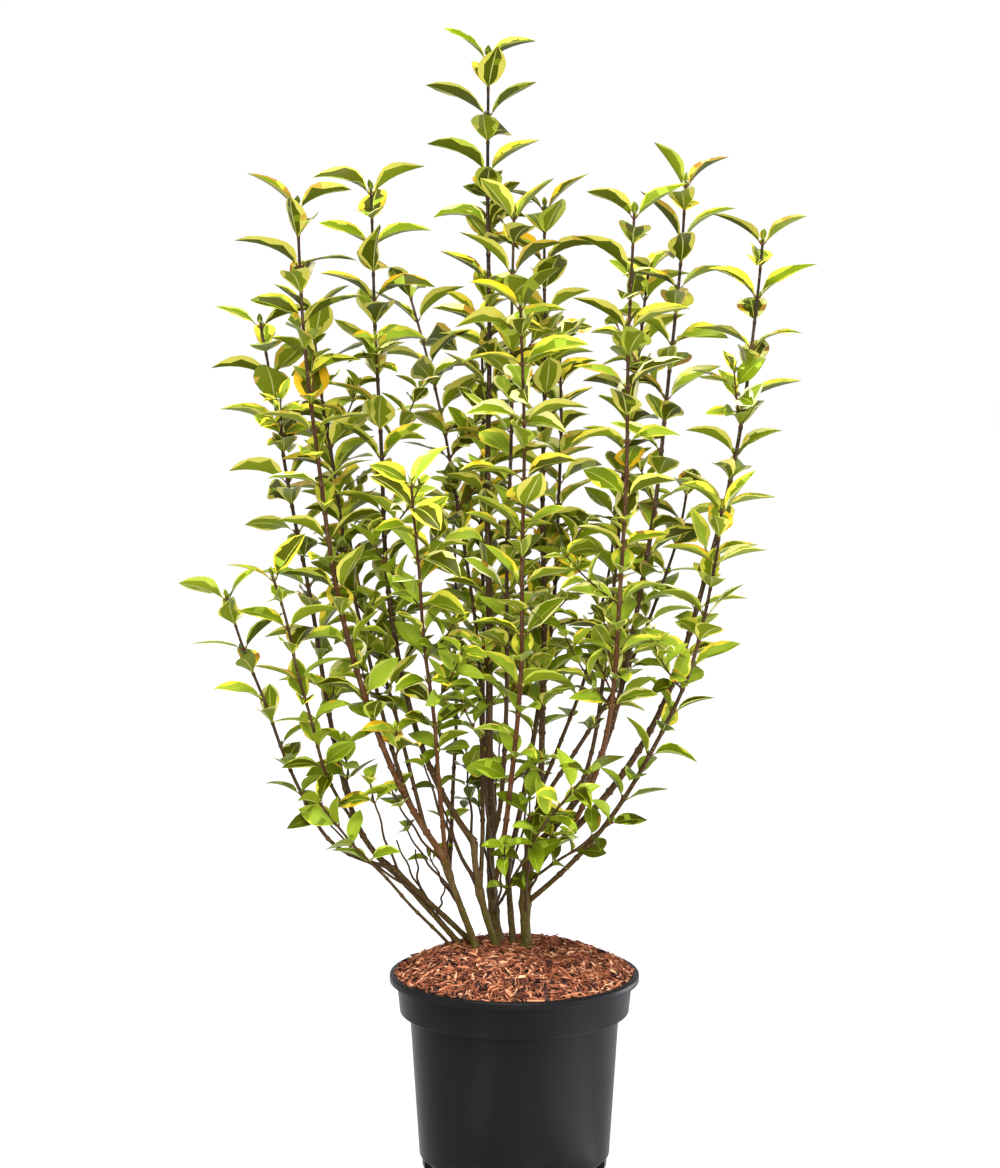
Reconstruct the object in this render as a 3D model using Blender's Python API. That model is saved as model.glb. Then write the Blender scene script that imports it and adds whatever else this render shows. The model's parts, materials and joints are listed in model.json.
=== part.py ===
"""Golden privet in a nursery pot: many upright leafy shoots that rise from a stool of short stems.

The origin is the middle of the pot's underside, +Z is up and -Y is the front. Sizes are in metres.
"""

import math
import random
from dataclasses import dataclass

import bmesh
import bpy
from mathutils import Vector
from mathutils.bvhtree import BVHTree

# Clearance between neighbours
GAP = 0.0003

# Pot
POT_HEIGHT = 0.205
RIM_RADIUS = 0.130
RIM_WIDTH = 0.0065
RIM_DEPTH = 0.008
COLLAR_TOP_RADIUS = 0.1225
COLLAR_FOOT_RADIUS = 0.1195
COLLAR_FOOT = 0.165
BODY_TOP_RADIUS = 0.1100
BODY_FOOT_RADIUS = 0.0995
BODY_FOOT = 0.013
UNDERSIDE = 0.0125
EDGE_ROUND = 0.0012
WALL = 0.002
FLOOR_TOP = 0.0155
FOOT_OUTER_RADIUS = 0.0965
FOOT_INNER_RADIUS = 0.080
PAD_RADIUS = 0.030
POT_SIDES = 40
FEET = 8
NOTCH_WIDTH = 0.026
NOTCH_HEIGHT = 0.010
NOTCH_OVERRUN = 0.002
DRAIN_RADIUS = 0.006
DRAIN_SIDES = 8
DRAIN_INSET = 0.004

# Mulch
MULCH_TOP = 0.227
MULCH_FLAT_RADIUS = 0.070
MULCH_SHOULDER_RADIUS = 0.097
MULCH_SHOULDER = 0.217
MULCH_EDGE = 0.2015

# Stems, boughs and twigs
STEM_SIDES = 8
BOUGH_SIDES = 6
TWIG_SIDES = 3
STEM_RINGS = 4
BOUGH_RINGS = 4
WAND_RINGS = 7
TWIG_RINGS = 2
RING_BUNCHING = 1.6
ROOT_FLARE = 1.35
ROOT_FLARE_SHARE = 0.12
TIP_RADIUS = 0.0009
TWIG_STOUTNESS = 1.35

# Leaves
LEAF_SPACING = 0.056
LEAF_SIZES = (0.9, 1.08)
TOP_PAIR_SIZE = 0.8
SIDE_LEAF_SIZE = 0.78
PAIR_JITTER = 14
LEAF_WIDTH = 0.42
LEAF_THICKNESS = 0.026
LEAF_FOLD = 0.09
LEAF_WIDEST = 0.45
LEAF_RISE = math.radians(47)
LEAF_DROOP = math.radians(17)
ROOT_OFFSET = 0.08
LEAF_CLEARANCE = 0.0007
LEAF_FREE_FROM = 0.004
TOP_PAIR_DEPTH = 0.004
LOWEST_LEAF_RISE = 0.015
SIDE_TWIG_LENGTH = 0.075
SIDE_TWIG_RADIUS = 0.0012
SIDE_TWIG_SPACING = 0.042
SIDE_TWIG_RISE = math.radians(42)
SIDE_TWIGS_END = 0.62
GOLDEN_ANGLE = 137.5
SEED = 11


@dataclass(frozen=True)
class Path:
    """A rising curve that makes part of its sideways travel early, near its foot.

    spread is the share of the travel made early, snap says how early, and bow bulges the middle
    along X.
    """

    foot: tuple
    tip: tuple
    spread: float
    snap: float
    bow: float

    def point(self, share):
        """The point at this share of the height."""
        early = 1 - (1 - share) ** self.snap
        travel = self.spread * early + (1 - self.spread) * share
        foot, tip = Vector(self.foot), Vector(self.tip)
        place = foot.lerp(tip, travel)
        place.z = foot.z + (tip.z - foot.z) * share
        place.x += 4 * share * (1 - share) * self.bow
        return place

    def direction(self, share):
        """The unit vector along the curve."""
        step = 0.002
        low, high = max(share - step, 0), min(share + step, 1)
        return (self.point(high) - self.point(low)).normalized()

    def length(self, low=0.0, high=1.0, steps=60):
        """How long the curve is between two shares."""
        places = [self.point(low + (high - low) * i / steps) for i in range(steps + 1)]
        return sum((b - a).length for a, b in zip(places, places[1:]))

    def share_at(self, distance, steps=400):
        """The share at this distance back from the tip."""
        walked = 0.0
        last = self.point(1)
        for i in range(1, steps + 1):
            share = 1 - i / steps
            place = self.point(share)
            walked += (place - last).length
            last = place
            if walked >= distance:
                return share
        return 0.0


@dataclass(frozen=True)
class Stem:
    """A stem that stands in the mulch, from its flat cut there to its fork."""

    name: str
    foot: tuple
    top: tuple
    spread: float
    snap: float
    bow: float
    radius: float
    top_radius: float

    def path(self):
        return Path((*self.foot, MULCH_TOP + GAP), self.top, self.spread, self.snap, self.bow)


@dataclass(frozen=True)
class Shoot:
    """A shoot that springs from a stem or an older shoot and carries one mass of leaves.

    start is the share of the parent's path where it springs, bare the share of its own path
    without leaves, leaf the leaves' length, twigs how many side twigs it has and turn the
    compass angle of its top pair of leaves, in degrees.
    """

    name: str
    parent: str
    start: float
    tip: tuple
    spread: float
    snap: float
    bow: float
    radius: float
    bare: float
    leaf: float = 0.056
    twigs: int = 0
    turn: float = 0.0


STEMS = (
    Stem("stem_left_outer", (-0.058, 0.029), (-0.132, 0.022, 0.312), 0.45, 2, 0.010, 0.0034, 0.0029),
    Stem("stem_left_inner", (-0.044, 0.033), (-0.125, 0.008, 0.313), 0.45, 1.5, 0.005, 0.0031, 0.0024),
    Stem("stem_left", (-0.040, 0.010), (-0.073, -0.014, 0.330), -0.30, 3, -0.005, 0.0039, 0.0031),
    Stem("stem_centre_left", (-0.018, 0.018), (-0.042, 0.006, 0.341), 0.15, 1.5, -0.005, 0.0040, 0.0032),
    Stem("stem_centre", (-0.015, 0.044), (-0.023, 0.040, 0.363), 0.10, 18, -0.005, 0.0047, 0.0040),
    Stem("stem_centre_right", (-0.001, 0.030), (-0.007, 0.060, 0.305), 0.60, 1.5, 0.000, 0.0037, 0.0031),
    Stem("stem_right", (0.013, 0.012), (0.019, 0.010, 0.340), 0.15, 18, -0.005, 0.0055, 0.0048),
)

SHOOTS = (
    Shoot("left_outer", "stem_left_outer", 1.00, (-0.264, 0.040, 0.891), 0.25, 18, 0, 0.0024, 0.24,
          twigs=1, turn=10),
    Shoot("left_short", "left_outer", 0.07, (-0.245, -0.100, 0.644), 0.60, 4, 0.015, 0.0015, 0.22,
          leaf=0.050, turn=0),
    Shoot("left_low", "stem_left_inner", 1.00, (-0.298, -0.030, 0.616), 0.35, 18, -0.005, 0.0017, 0.16,
          leaf=0.048, turn=0),
    Shoot("left_tall", "stem_left", 1.00, (-0.213, -0.110, 1.010), 0.35, 6, -0.020, 0.0027, 0.17,
          twigs=2, turn=0),
    Shoot("left_back", "left_tall", 0.08, (-0.211, 0.060, 0.901), 0.10, 6, -0.010, 0.0019, 0.17,
          twigs=1, turn=30),
    Shoot("left_rear", "left_tall", 0.045, (-0.200, 0.130, 0.783), -0.30, 4, -0.020, 0.0018, 0.24,
          twigs=1, turn=60),
    Shoot("left_inner", "stem_centre_left", 1.00, (-0.146, 0.000, 1.027), 0.80, 6, 0, 0.0027, 0.17,
          twigs=2, turn=5),
    Shoot("front_left", "stem_left", 0.93, (-0.102, -0.150, 0.740), -0.30, 4, -0.005, 0.0020, 0.26,
          leaf=0.050, twigs=2, turn=40),
    Shoot("rear_left", "stem_left", 0.80, (-0.068, 0.230, 0.695), 0.40, 14, 0.005, 0.0018, 0.28,
          leaf=0.050, twigs=2, turn=80),
    Shoot("back_left", "stem_centre_left", 0.52, (-0.115, 0.170, 0.915), -1.00, 2, 0.010, 0.0020, 0.22,
          twigs=1, turn=70),
    Shoot("leader", "stem_centre", 1.00, (-0.027, 0.015, 1.161), 0.90, 18, 0, 0.0034, 0.14,
          twigs=2, turn=0),
    Shoot("centre_back", "stem_centre", 0.90, (-0.034, 0.110, 0.894), 0.90, 12, 0, 0.0021, 0.22,
          twigs=1, turn=45),
    Shoot("centre_front", "stem_centre", 0.80, (-0.001, -0.080, 1.001), 0.55, 18, 0, 0.0021, 0.22,
          twigs=1, turn=20),
    Shoot("front", "stem_centre", 0.39, (0.004, -0.170, 0.914), 0.50, 6, 0.010, 0.0025, 0.20,
          twigs=2, turn=0),
    Shoot("rear_right", "stem_centre_right", 1.00, (0.047, 0.190, 0.874), -0.60, 2, 0.030, 0.0026, 0.22,
          twigs=2, turn=35),
    Shoot("centre_right", "stem_right", 1.00, (0.031, 0.050, 1.011), 0.90, 18, 0, 0.0030, 0.17,
          twigs=1, turn=10),
    Shoot("right_outer", "stem_right", 0.78, (0.251, -0.010, 0.977), 0.35, 8, 0.030, 0.0031, 0.27,
          twigs=1, turn=0),
    Shoot("right_front", "right_outer", 0.045, (0.115, -0.140, 1.002), 0.90, 6, -0.005, 0.0023, 0.20,
          twigs=1, turn=0),
    Shoot("right_tall", "stem_right", 0.95, (0.176, 0.040, 1.035), 0.40, 12, 0.015, 0.0027, 0.20,
          twigs=1, turn=0),
    Shoot("right_back", "right_tall", 0.05, (0.144, 0.130, 0.943), 0.35, 12, -0.005, 0.0019, 0.20,
          twigs=1, turn=50),
    Shoot("right_low", "stem_right", 0.42, (0.204, -0.110, 0.713), 0.15, 6, 0.040, 0.0023, 0.24,
          leaf=0.050, turn=0),
    Shoot("right_rear", "centre_right", 0.045, (0.184, 0.100, 0.711), -0.05, 18, 0.030, 0.0020, 0.20,
          leaf=0.050, twigs=1, turn=75),
    Shoot("rear", "centre_right", 0.075, (0.113, 0.210, 0.680), 0.20, 3, 0.010, 0.0018, 0.20,
          leaf=0.048, twigs=1, turn=15),
    Shoot("foot_right", "stem_right", 0.62, (0.110, -0.040, 0.382), 0.85, 1.5, -0.010, 0.0013, 0.0,
          leaf=0.036, turn=20),
    Shoot("foot_front", "stem_centre", 0.25, (0.079, -0.150, 0.449), 0.10, 8, -0.015, 0.0013, 0.0,
          leaf=0.042, turn=30),
    Shoot("foot_left", "", 0.0, (-0.206, -0.060, 0.408), 0.90, 1.5, 0.015, 0.0015, 0.45,
          leaf=0.044, turn=60),
)
FOOT_LEFT_START = (-0.066, 0.018)


def ring_places(path, share, radius, sides, side):
    """The points of one ring of a limb, square to its path. side keeps the rings unturned."""
    along = path.direction(share)
    across = (side - along * side.dot(along)).normalized()
    other = along.cross(across)
    middle = path.point(share)
    return [
        middle + (across * math.cos(a) + other * math.sin(a)) * radius
        for a in (2 * math.pi * i / sides for i in range(sides))
    ]


def limb_mesh(path, radius_at, low, high, sides, rings, grow=0.0):
    """A tapering tube with flat ends along part of a path, closer ringed towards its foot.

    grow makes it that much fatter and longer, for a cutter or a clearance test.
    """
    bm = bmesh.new()
    side = Vector((1, 0, 0))
    loops = []
    for i in range(rings + 1):
        share = low + (high - low) * (i / rings) ** RING_BUNCHING
        places = ring_places(path, share, radius_at(share) + grow, sides, side)
        if i == 0:
            places = [p - path.direction(share) * grow for p in places]
        if i == rings:
            places = [p + path.direction(share) * grow for p in places]
        loops.append([bm.verts.new(p) for p in places])
    for lower, upper in zip(loops, loops[1:]):
        for i in range(sides):
            j = (i + 1) % sides
            bm.faces.new((lower[i], lower[j], upper[j], upper[i]))
    bm.faces.new(loops[0][::-1])
    bm.faces.new(loops[-1])
    return finished(bm)


def flat_foot(mesh, height):
    """Levels the lowest ring of a stem at this height, so that it stands on a flat cut."""
    lowest = sorted(mesh.vertices, key=lambda v: v.co.z)[:STEM_SIDES]
    for vertex in lowest:
        vertex.co.z = height


def finished(bm):
    """The triangulated mesh, facing out."""
    bmesh.ops.recalc_face_normals(bm, faces=bm.faces)
    bmesh.ops.triangulate(bm, faces=bm.faces)
    mesh = bpy.data.meshes.new("mesh")
    bm.to_mesh(mesh)
    bm.free()
    return mesh


def add_object(name, mesh, material=None):
    obj = bpy.data.objects.new(name, mesh)
    bpy.context.scene.collection.objects.link(obj)
    mesh.name = name
    if material is not None:
        mesh.materials.append(material)
    return obj


def plain_material(name, colour, roughness):
    material = bpy.data.materials.new(name)
    material.use_nodes = True
    shader = material.node_tree.nodes["Principled BSDF"]
    shader.inputs["Base Color"].default_value = (*colour, 1)
    shader.inputs["Roughness"].default_value = roughness
    shader.inputs["Metallic"].default_value = 0
    return material


def apply_modifiers(obj):
    """Replaces the object's mesh by what its modifiers make of it."""
    depsgraph = bpy.context.evaluated_depsgraph_get()
    result = bpy.data.meshes.new_from_object(obj.evaluated_get(depsgraph))
    obj.modifiers.clear()
    obj.data = result


def keep_largest(mesh):
    """Drops loose scraps and sealed hollows: only the largest closed shell stays."""
    bm = bmesh.new()
    bm.from_mesh(mesh)
    shells = []
    left = set(bm.verts)
    while left:
        shell = {left.pop()}
        edge = list(shell)
        while edge:
            vertex = edge.pop()
            for link in vertex.link_edges:
                other = link.other_vert(vertex)
                if other not in shell:
                    shell.add(other)
                    edge.append(other)
        left -= shell
        shells.append(shell)
    shells.sort(key=len, reverse=True)
    scraps = [v for shell in shells[1:] for v in shell]
    bmesh.ops.delete(bm, geom=scraps, context="VERTS")
    bm.to_mesh(mesh)
    bm.free()


def cut(obj, cutter_mesh):
    """Takes the cutter's shape out of the object."""
    cutter = add_object("cutter", cutter_mesh)
    modifier = obj.modifiers.new("cut", "BOOLEAN")
    modifier.operation = "DIFFERENCE"
    modifier.solver = "EXACT"
    modifier.object = cutter
    apply_modifiers(obj)
    bpy.data.objects.remove(cutter)
    keep_largest(obj.data)


def turned(profile, sides):
    """A closed shape turned about Z from a profile that starts and ends on the axis."""
    bm = bmesh.new()
    rows = []
    for radius, height in profile:
        if radius == 0:
            rows.append([bm.verts.new((0, 0, height))])
            continue
        angles = (2 * math.pi * (i + 0.5) / sides for i in range(sides))
        rows.append([bm.verts.new((radius * math.cos(a), radius * math.sin(a), height)) for a in angles])
    for row, following in zip(rows, rows[1:]):
        for i in range(sides):
            j = (i + 1) % sides
            corners = [row[i % len(row)], row[j % len(row)], following[j % len(following)],
                       following[i % len(following)]]
            unique = list(dict.fromkeys(corners))
            bm.faces.new(unique)
    bmesh.ops.recalc_face_normals(bm, faces=bm.faces)
    mesh = bpy.data.meshes.new("turned")
    bm.to_mesh(mesh)
    bm.free()
    return mesh


def body_radius(height):
    """The pot's outer radius below its collar."""
    share = (height - BODY_FOOT) / (COLLAR_FOOT - BODY_FOOT)
    return BODY_FOOT_RADIUS + (BODY_TOP_RADIUS - BODY_FOOT_RADIUS) * share


def pot_profile():
    """From the middle of the underside, out and up the wall, over the rim and down inside."""
    lip_foot = POT_HEIGHT - RIM_DEPTH
    floor_radius = body_radius(FLOOR_TOP) - WALL
    return [
        (0, 0),
        (PAD_RADIUS, 0),
        (PAD_RADIUS, UNDERSIDE),
        (FOOT_INNER_RADIUS, UNDERSIDE),
        (FOOT_INNER_RADIUS, 0),
        (FOOT_OUTER_RADIUS - EDGE_ROUND, 0),
        (FOOT_OUTER_RADIUS, EDGE_ROUND),
        (BODY_FOOT_RADIUS, BODY_FOOT + EDGE_ROUND),
        (BODY_TOP_RADIUS, COLLAR_FOOT - EDGE_ROUND / 2),
        (COLLAR_FOOT_RADIUS, COLLAR_FOOT),
        (COLLAR_TOP_RADIUS, lip_foot),
        (RIM_RADIUS, lip_foot),
        (RIM_RADIUS, POT_HEIGHT - EDGE_ROUND * 1.5),
        (RIM_RADIUS - EDGE_ROUND, POT_HEIGHT),
        (RIM_RADIUS - RIM_WIDTH, POT_HEIGHT),
        (COLLAR_TOP_RADIUS - WALL, POT_HEIGHT - EDGE_ROUND * 3),
        (COLLAR_FOOT_RADIUS - WALL, COLLAR_FOOT + WALL),
        (BODY_TOP_RADIUS - WALL, COLLAR_FOOT + WALL / 2),
        (floor_radius, FLOOR_TOP),
        (0, FLOOR_TOP),
    ]


def notch_cutter():
    """Boxes that cut the foot ring into separate feet, each with a drain hole above it."""
    bm = bmesh.new()
    for i in range(FEET):
        angle = 2 * math.pi * (i + 0.5) / FEET
        out = Vector((math.cos(angle), math.sin(angle), 0))
        across = Vector((-out.y, out.x, 0))
        near, far = FOOT_INNER_RADIUS - NOTCH_OVERRUN * 2, FOOT_OUTER_RADIUS + NOTCH_OVERRUN
        corners = []
        for height in (-NOTCH_OVERRUN, NOTCH_HEIGHT):
            for reach, swing in ((near, -1), (far, -1), (far, 1), (near, 1)):
                place = out * reach + across * swing * NOTCH_WIDTH / 2
                corners.append(bm.verts.new((place.x, place.y, height)))
        for face in ((3, 2, 1, 0), (4, 5, 6, 7), (0, 1, 5, 4), (1, 2, 6, 5), (2, 3, 7, 6), (3, 0, 4, 7)):
            bm.faces.new([corners[k] for k in face])
    return finished(bm)


def drain_cutter():
    """Upright pegs through the pot's floor, one beside each foot."""
    bm = bmesh.new()
    middle = FOOT_INNER_RADIUS - DRAIN_RADIUS - DRAIN_INSET
    for i in range(FEET):
        angle = 2 * math.pi * (i + 0.5) / FEET
        loops = []
        for height in (UNDERSIDE - NOTCH_OVERRUN, FLOOR_TOP + NOTCH_OVERRUN):
            loop = []
            for k in range(DRAIN_SIDES):
                swing = 2 * math.pi * k / DRAIN_SIDES
                x = middle * math.cos(angle) + DRAIN_RADIUS * math.cos(swing)
                y = middle * math.sin(angle) + DRAIN_RADIUS * math.sin(swing)
                loop.append(bm.verts.new((x, y, height)))
            loops.append(loop)
        for k in range(DRAIN_SIDES):
            j = (k + 1) % DRAIN_SIDES
            bm.faces.new((loops[0][k], loops[0][j], loops[1][j], loops[1][k]))
        bm.faces.new(loops[0][::-1])
        bm.faces.new(loops[1])
    return finished(bm)


def make_pot(material):
    pot = add_object("pot", turned(pot_profile(), POT_SIDES), material)
    cut(pot, notch_cutter())
    cut(pot, drain_cutter())
    return pot


def make_mulch(material):
    """The filling of the pot, heaped level in the middle and sloping to the rim."""
    floor = FLOOR_TOP + GAP
    inside = WALL + GAP * 1.2
    profile = [
        (0, floor),
        (body_radius(floor) - inside, floor),
        (BODY_TOP_RADIUS - inside, COLLAR_FOOT + WALL / 2 + GAP),
        (COLLAR_FOOT_RADIUS - inside, COLLAR_FOOT + WALL + GAP * 1.5),
        (COLLAR_TOP_RADIUS - inside - 0.0002, MULCH_EDGE - 0.003),
        (COLLAR_TOP_RADIUS - inside - 0.001, MULCH_EDGE),
        (MULCH_SHOULDER_RADIUS, MULCH_SHOULDER),
        (MULCH_FLAT_RADIUS, MULCH_TOP),
        (0, MULCH_TOP),
    ]
    return add_object("mulch", turned(profile, POT_SIDES), material)


def stem_radius(stem):
    """How a stem's radius falls from its root flare to its fork."""

    def radius(share):
        flare = max(0.0, 1 - share / ROOT_FLARE_SHARE) ** 2
        plain = stem.radius + (stem.top_radius - stem.radius) * share
        return plain * (1 + (ROOT_FLARE - 1) * flare)

    return radius


def shoot_radius(shoot, stoutness=1.0):
    """How a shoot's radius falls from its start to its tip."""

    def radius(share):
        return stoutness * (TIP_RADIUS + (shoot.radius - TIP_RADIUS) * (1 - share) ** 0.9)

    return radius


def leaf_mesh(root, along, out, length, grow=0.0):
    """A folded leaf of eight faces that rises from its root and droops to its tip."""
    heading = out * math.cos(LEAF_RISE) + along * math.sin(LEAF_RISE)
    normal = along * math.cos(LEAF_RISE) - out * math.sin(LEAF_RISE)
    across = normal.cross(heading)
    widest = root + heading * length * LEAF_WIDEST
    half = length * LEAF_WIDTH / 2 + grow
    thick = length * LEAF_THICKNESS / 2 + grow
    fold = normal * length * LEAF_FOLD
    reach = length + grow
    tip = root + heading * reach * math.cos(LEAF_DROOP) - normal * reach * math.sin(LEAF_DROOP)
    places = [
        root,
        widest + across * half + fold,
        tip,
        widest - across * half + fold,
        widest + normal * thick,
        widest - normal * thick,
    ]
    faces = []
    for i in range(4):
        j = (i + 1) % 4
        faces.append((j, i, 4))
        faces.append((i, j, 5))
    return places, faces


def leaf_pairs(path, low, spacing, turn, rng):
    """The places of opposite leaves, each pair square to the last, from the tip down."""
    count = int(path.length(low, 1.0) / spacing) + 1
    for i in range(count):
        share = path.share_at(TOP_PAIR_DEPTH + i * spacing)
        if share <= low:
            break
        angle = math.radians(turn + 90 * (i % 2) + rng.uniform(-PAIR_JITTER, PAIR_JITTER))
        yield share, angle, i


def leaf_direction(path, share, angle):
    """The level direction of a leaf at this compass angle, square to the shoot."""
    along = path.direction(share)
    level = Vector((math.cos(angle), math.sin(angle), 0))
    return along, (level - along * level.dot(along)).normalized()


class Crown:
    """Every solid made so far, for the clearance tests of leaves and twigs."""

    def __init__(self):
        self.trees = {}

    def add(self, name, places, faces):
        self.trees[name] = BVHTree.FromPolygons(places, faces)

    def add_mesh(self, name, mesh):
        places = [v.co.copy() for v in mesh.vertices]
        self.add(name, places, [tuple(p.vertices) for p in mesh.polygons])

    def touches(self, places, faces, own):
        """Whether a shape touches any solid but those of its own mass."""
        tree = BVHTree.FromPolygons(places, faces)
        return any(name not in own and bool(tree.overlap(other)) for name, other in self.trees.items())


def mesh_lists(mesh):
    return [v.co.copy() for v in mesh.vertices], [tuple(p.vertices) for p in mesh.polygons]


def side_twigs(shoot, path, rng):
    """Short side shoots of a mass: each a path, spiralled up its lower half."""
    twigs = []
    for i in range(shoot.twigs):
        share = shoot.bare + (SIDE_TWIGS_END - shoot.bare) * (i + 0.6) / shoot.twigs
        angle = math.radians(shoot.turn + 45 + GOLDEN_ANGLE * i + rng.uniform(-10, 10))
        along, out = leaf_direction(path, share, angle)
        foot = path.point(share)
        heading = out * math.cos(SIDE_TWIG_RISE) + along * math.sin(SIDE_TWIG_RISE)
        tip = foot + heading * SIDE_TWIG_LENGTH * rng.uniform(0.8, 1.1)
        twigs.append(Path(tuple(foot), tuple(tip), 0.35, 2, 0))
    return twigs


def mesh_of(places, faces):
    mesh = bpy.data.meshes.new("piece")
    mesh.from_pydata([tuple(p) for p in places], [], faces)
    mesh.validate()
    return mesh


def union_all(obj, pieces):
    """Joins the pieces to the object by one Boolean union on a collection."""
    group = bpy.data.collections.new("pieces")
    bpy.context.scene.collection.children.link(group)
    for places, faces in pieces:
        piece = bpy.data.objects.new("piece", mesh_of(places, faces))
        group.objects.link(piece)
    modifier = obj.modifiers.new("join", "BOOLEAN")
    modifier.operation = "UNION"
    modifier.operand_type = "COLLECTION"
    modifier.collection = group
    modifier.solver = "EXACT"
    apply_modifiers(obj)
    for piece in list(group.objects):
        bpy.data.objects.remove(piece)
    bpy.data.collections.remove(group)
    keep_largest(obj.data)


def make_mass(shoot, path, stem_mesh, crown, material, rng):
    """One mass of leaves: the shoot's leafy length, its side twigs and all that fits on them."""
    node = "leaves_" + shoot.name
    own = {node, "clearance_" + shoot.name, "bough_" + shoot.name}
    radius = shoot_radius(shoot, TWIG_STOUTNESS)
    pieces = []
    blades = []

    def fits(leaf, blade):
        """Whether a leaf clears the other masses, and its free part this mass's own leaves."""
        tree = BVHTree.FromPolygons(*blade)
        return not crown.touches(*leaf, own) and not any(tree.overlap(other) for other in blades)

    def try_leaves(way, low, spacing, turn, length, thickness):
        for share, angle, index in leaf_pairs(way, low, spacing, turn, rng):
            size = length * rng.uniform(*LEAF_SIZES) * (TOP_PAIR_SIZE if index == 0 else 1)
            for half_turn in (0, math.pi):
                along, out = leaf_direction(way, share, angle + half_turn)
                root = way.point(share) + out * thickness(share) * ROOT_OFFSET
                free = root + (out + along) * LEAF_FREE_FROM
                blade = leaf_mesh(free, along, out, size - LEAF_FREE_FROM, LEAF_CLEARANCE)
                if fits(leaf_mesh(root, along, out, size, LEAF_CLEARANCE), blade):
                    pieces.append(leaf_mesh(root, along, out, size))
                    blades.append(BVHTree.FromPolygons(*blade))

    for twig in side_twigs(shoot, path, rng):

        def twig_radius(share):
            return SIDE_TWIG_RADIUS * (1.3 - 0.6 * share)

        fat = limb_mesh(twig, twig_radius, 0, 1, TWIG_SIDES, TWIG_RINGS, LEAF_CLEARANCE)
        if crown.touches(*mesh_lists(fat), own):
            continue
        pieces.append(mesh_lists(limb_mesh(twig, twig_radius, 0, 1, TWIG_SIDES, TWIG_RINGS)))
        free_part = limb_mesh(twig, twig_radius, 0.1, 1, TWIG_SIDES, 1)
        blades.append(BVHTree.FromPolygons(*mesh_lists(free_part)))
        turn = rng.uniform(0, 90)
        try_leaves(twig, 0.25, SIDE_TWIG_SPACING, turn, shoot.leaf * SIDE_LEAF_SIZE, twig_radius)
    first_leaf = shoot.bare + LOWEST_LEAF_RISE / path.length()
    try_leaves(path, first_leaf, LEAF_SPACING, shoot.turn, shoot.leaf, radius)
    obj = add_object(node, stem_mesh, material)
    union_all(obj, pieces)
    crown.add_mesh(node, obj.data)
    return obj


def make_limb(name, mesh, parents, crown, material):
    """A stem or bough cut clear of what it springs from and of earlier limbs that it touches."""
    limb = add_object(name, mesh, material)
    for fat in parents:
        places, faces = mesh_lists(limb.data)
        if BVHTree.FromPolygons(places, faces).overlap(BVHTree.FromPolygons(*mesh_lists(fat))):
            cut(limb, fat.copy())
    crown.add_mesh(name, limb.data)
    return limb


def main():
    for obj in list(bpy.data.objects):
        bpy.data.objects.remove(obj)
    plastic = plain_material("pot", (0.022, 0.022, 0.024), 0.45)
    chips = plain_material("mulch", (0.36, 0.13, 0.07), 0.9)
    bark = plain_material("bark", (0.12, 0.075, 0.05), 0.75)
    foliage = plain_material("leaf", (0.42, 0.45, 0.05), 0.45)
    crown = Crown()
    make_pot(plastic)
    mulch = make_mulch(chips)
    crown.add_mesh("mulch", mulch.data)

    paths, fat_limbs = {}, []
    for stem in STEMS:
        path = stem.path()
        paths[stem.name] = path
        radius = stem_radius(stem)
        mesh = limb_mesh(path, radius, 0, 1, STEM_SIDES, STEM_RINGS)
        flat_foot(mesh, MULCH_TOP + GAP)
        make_limb(stem.name, mesh, fat_limbs, crown, bark)
        fat_limbs.append(limb_mesh(path, radius, 0, 1, STEM_SIDES, STEM_RINGS, GAP))

    wands = []
    for shoot in SHOOTS:
        if shoot.parent:
            foot = paths[shoot.parent].point(shoot.start)
        else:
            foot = Vector((*FOOT_LEFT_START, MULCH_TOP + GAP))
        path = Path(tuple(foot), shoot.tip, shoot.spread, shoot.snap, shoot.bow)
        paths[shoot.name] = path
        radius = shoot_radius(shoot)
        if shoot.bare:
            mesh = limb_mesh(path, radius, 0, shoot.bare, BOUGH_SIDES, BOUGH_RINGS)
            if not shoot.parent:
                for vertex in sorted(mesh.vertices, key=lambda v: v.co.z)[:BOUGH_SIDES]:
                    vertex.co.z = MULCH_TOP + GAP
            make_limb("bough_" + shoot.name, mesh, fat_limbs, crown, bark)
            fat_limbs.append(limb_mesh(path, radius, 0, shoot.bare, BOUGH_SIDES, BOUGH_RINGS, GAP))
        wands.append((shoot, path))

    wand_meshes = {}
    for shoot, path in wands:
        radius = shoot_radius(shoot, TWIG_STOUTNESS)
        low = shoot.bare + (GAP / path.length() if shoot.bare else 0)
        mesh = limb_mesh(path, radius, low, 1, TWIG_SIDES, WAND_RINGS)
        wand = add_object("wand", mesh)
        for fat in fat_limbs:
            if BVHTree.FromPolygons(*mesh_lists(mesh)).overlap(BVHTree.FromPolygons(*mesh_lists(fat))):
                cut(wand, fat.copy())
        wand_meshes[shoot.name] = wand.data
        crown.add_mesh("clearance_" + shoot.name, wand.data)
        bpy.data.objects.remove(wand)

    for index, (shoot, path) in enumerate(wands):
        rng = random.Random(SEED + index)
        make_mass(shoot, path, wand_meshes[shoot.name], crown, foliage, rng)


main()
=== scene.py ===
"""Looks of a potted golden privet: pot, bark mulch, woody stool, leafy shoots and a pale studio.

Metres, +Z up, -Y the front. Stems, shoots and leaves follow the same named paths and the same rule
of crossed pairs as the solids that they stand for, carried on to every node and side twig.
"""

import json
import logging
import math
from dataclasses import dataclass
from enum import Enum
from typing import Iterator, Sequence

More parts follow.
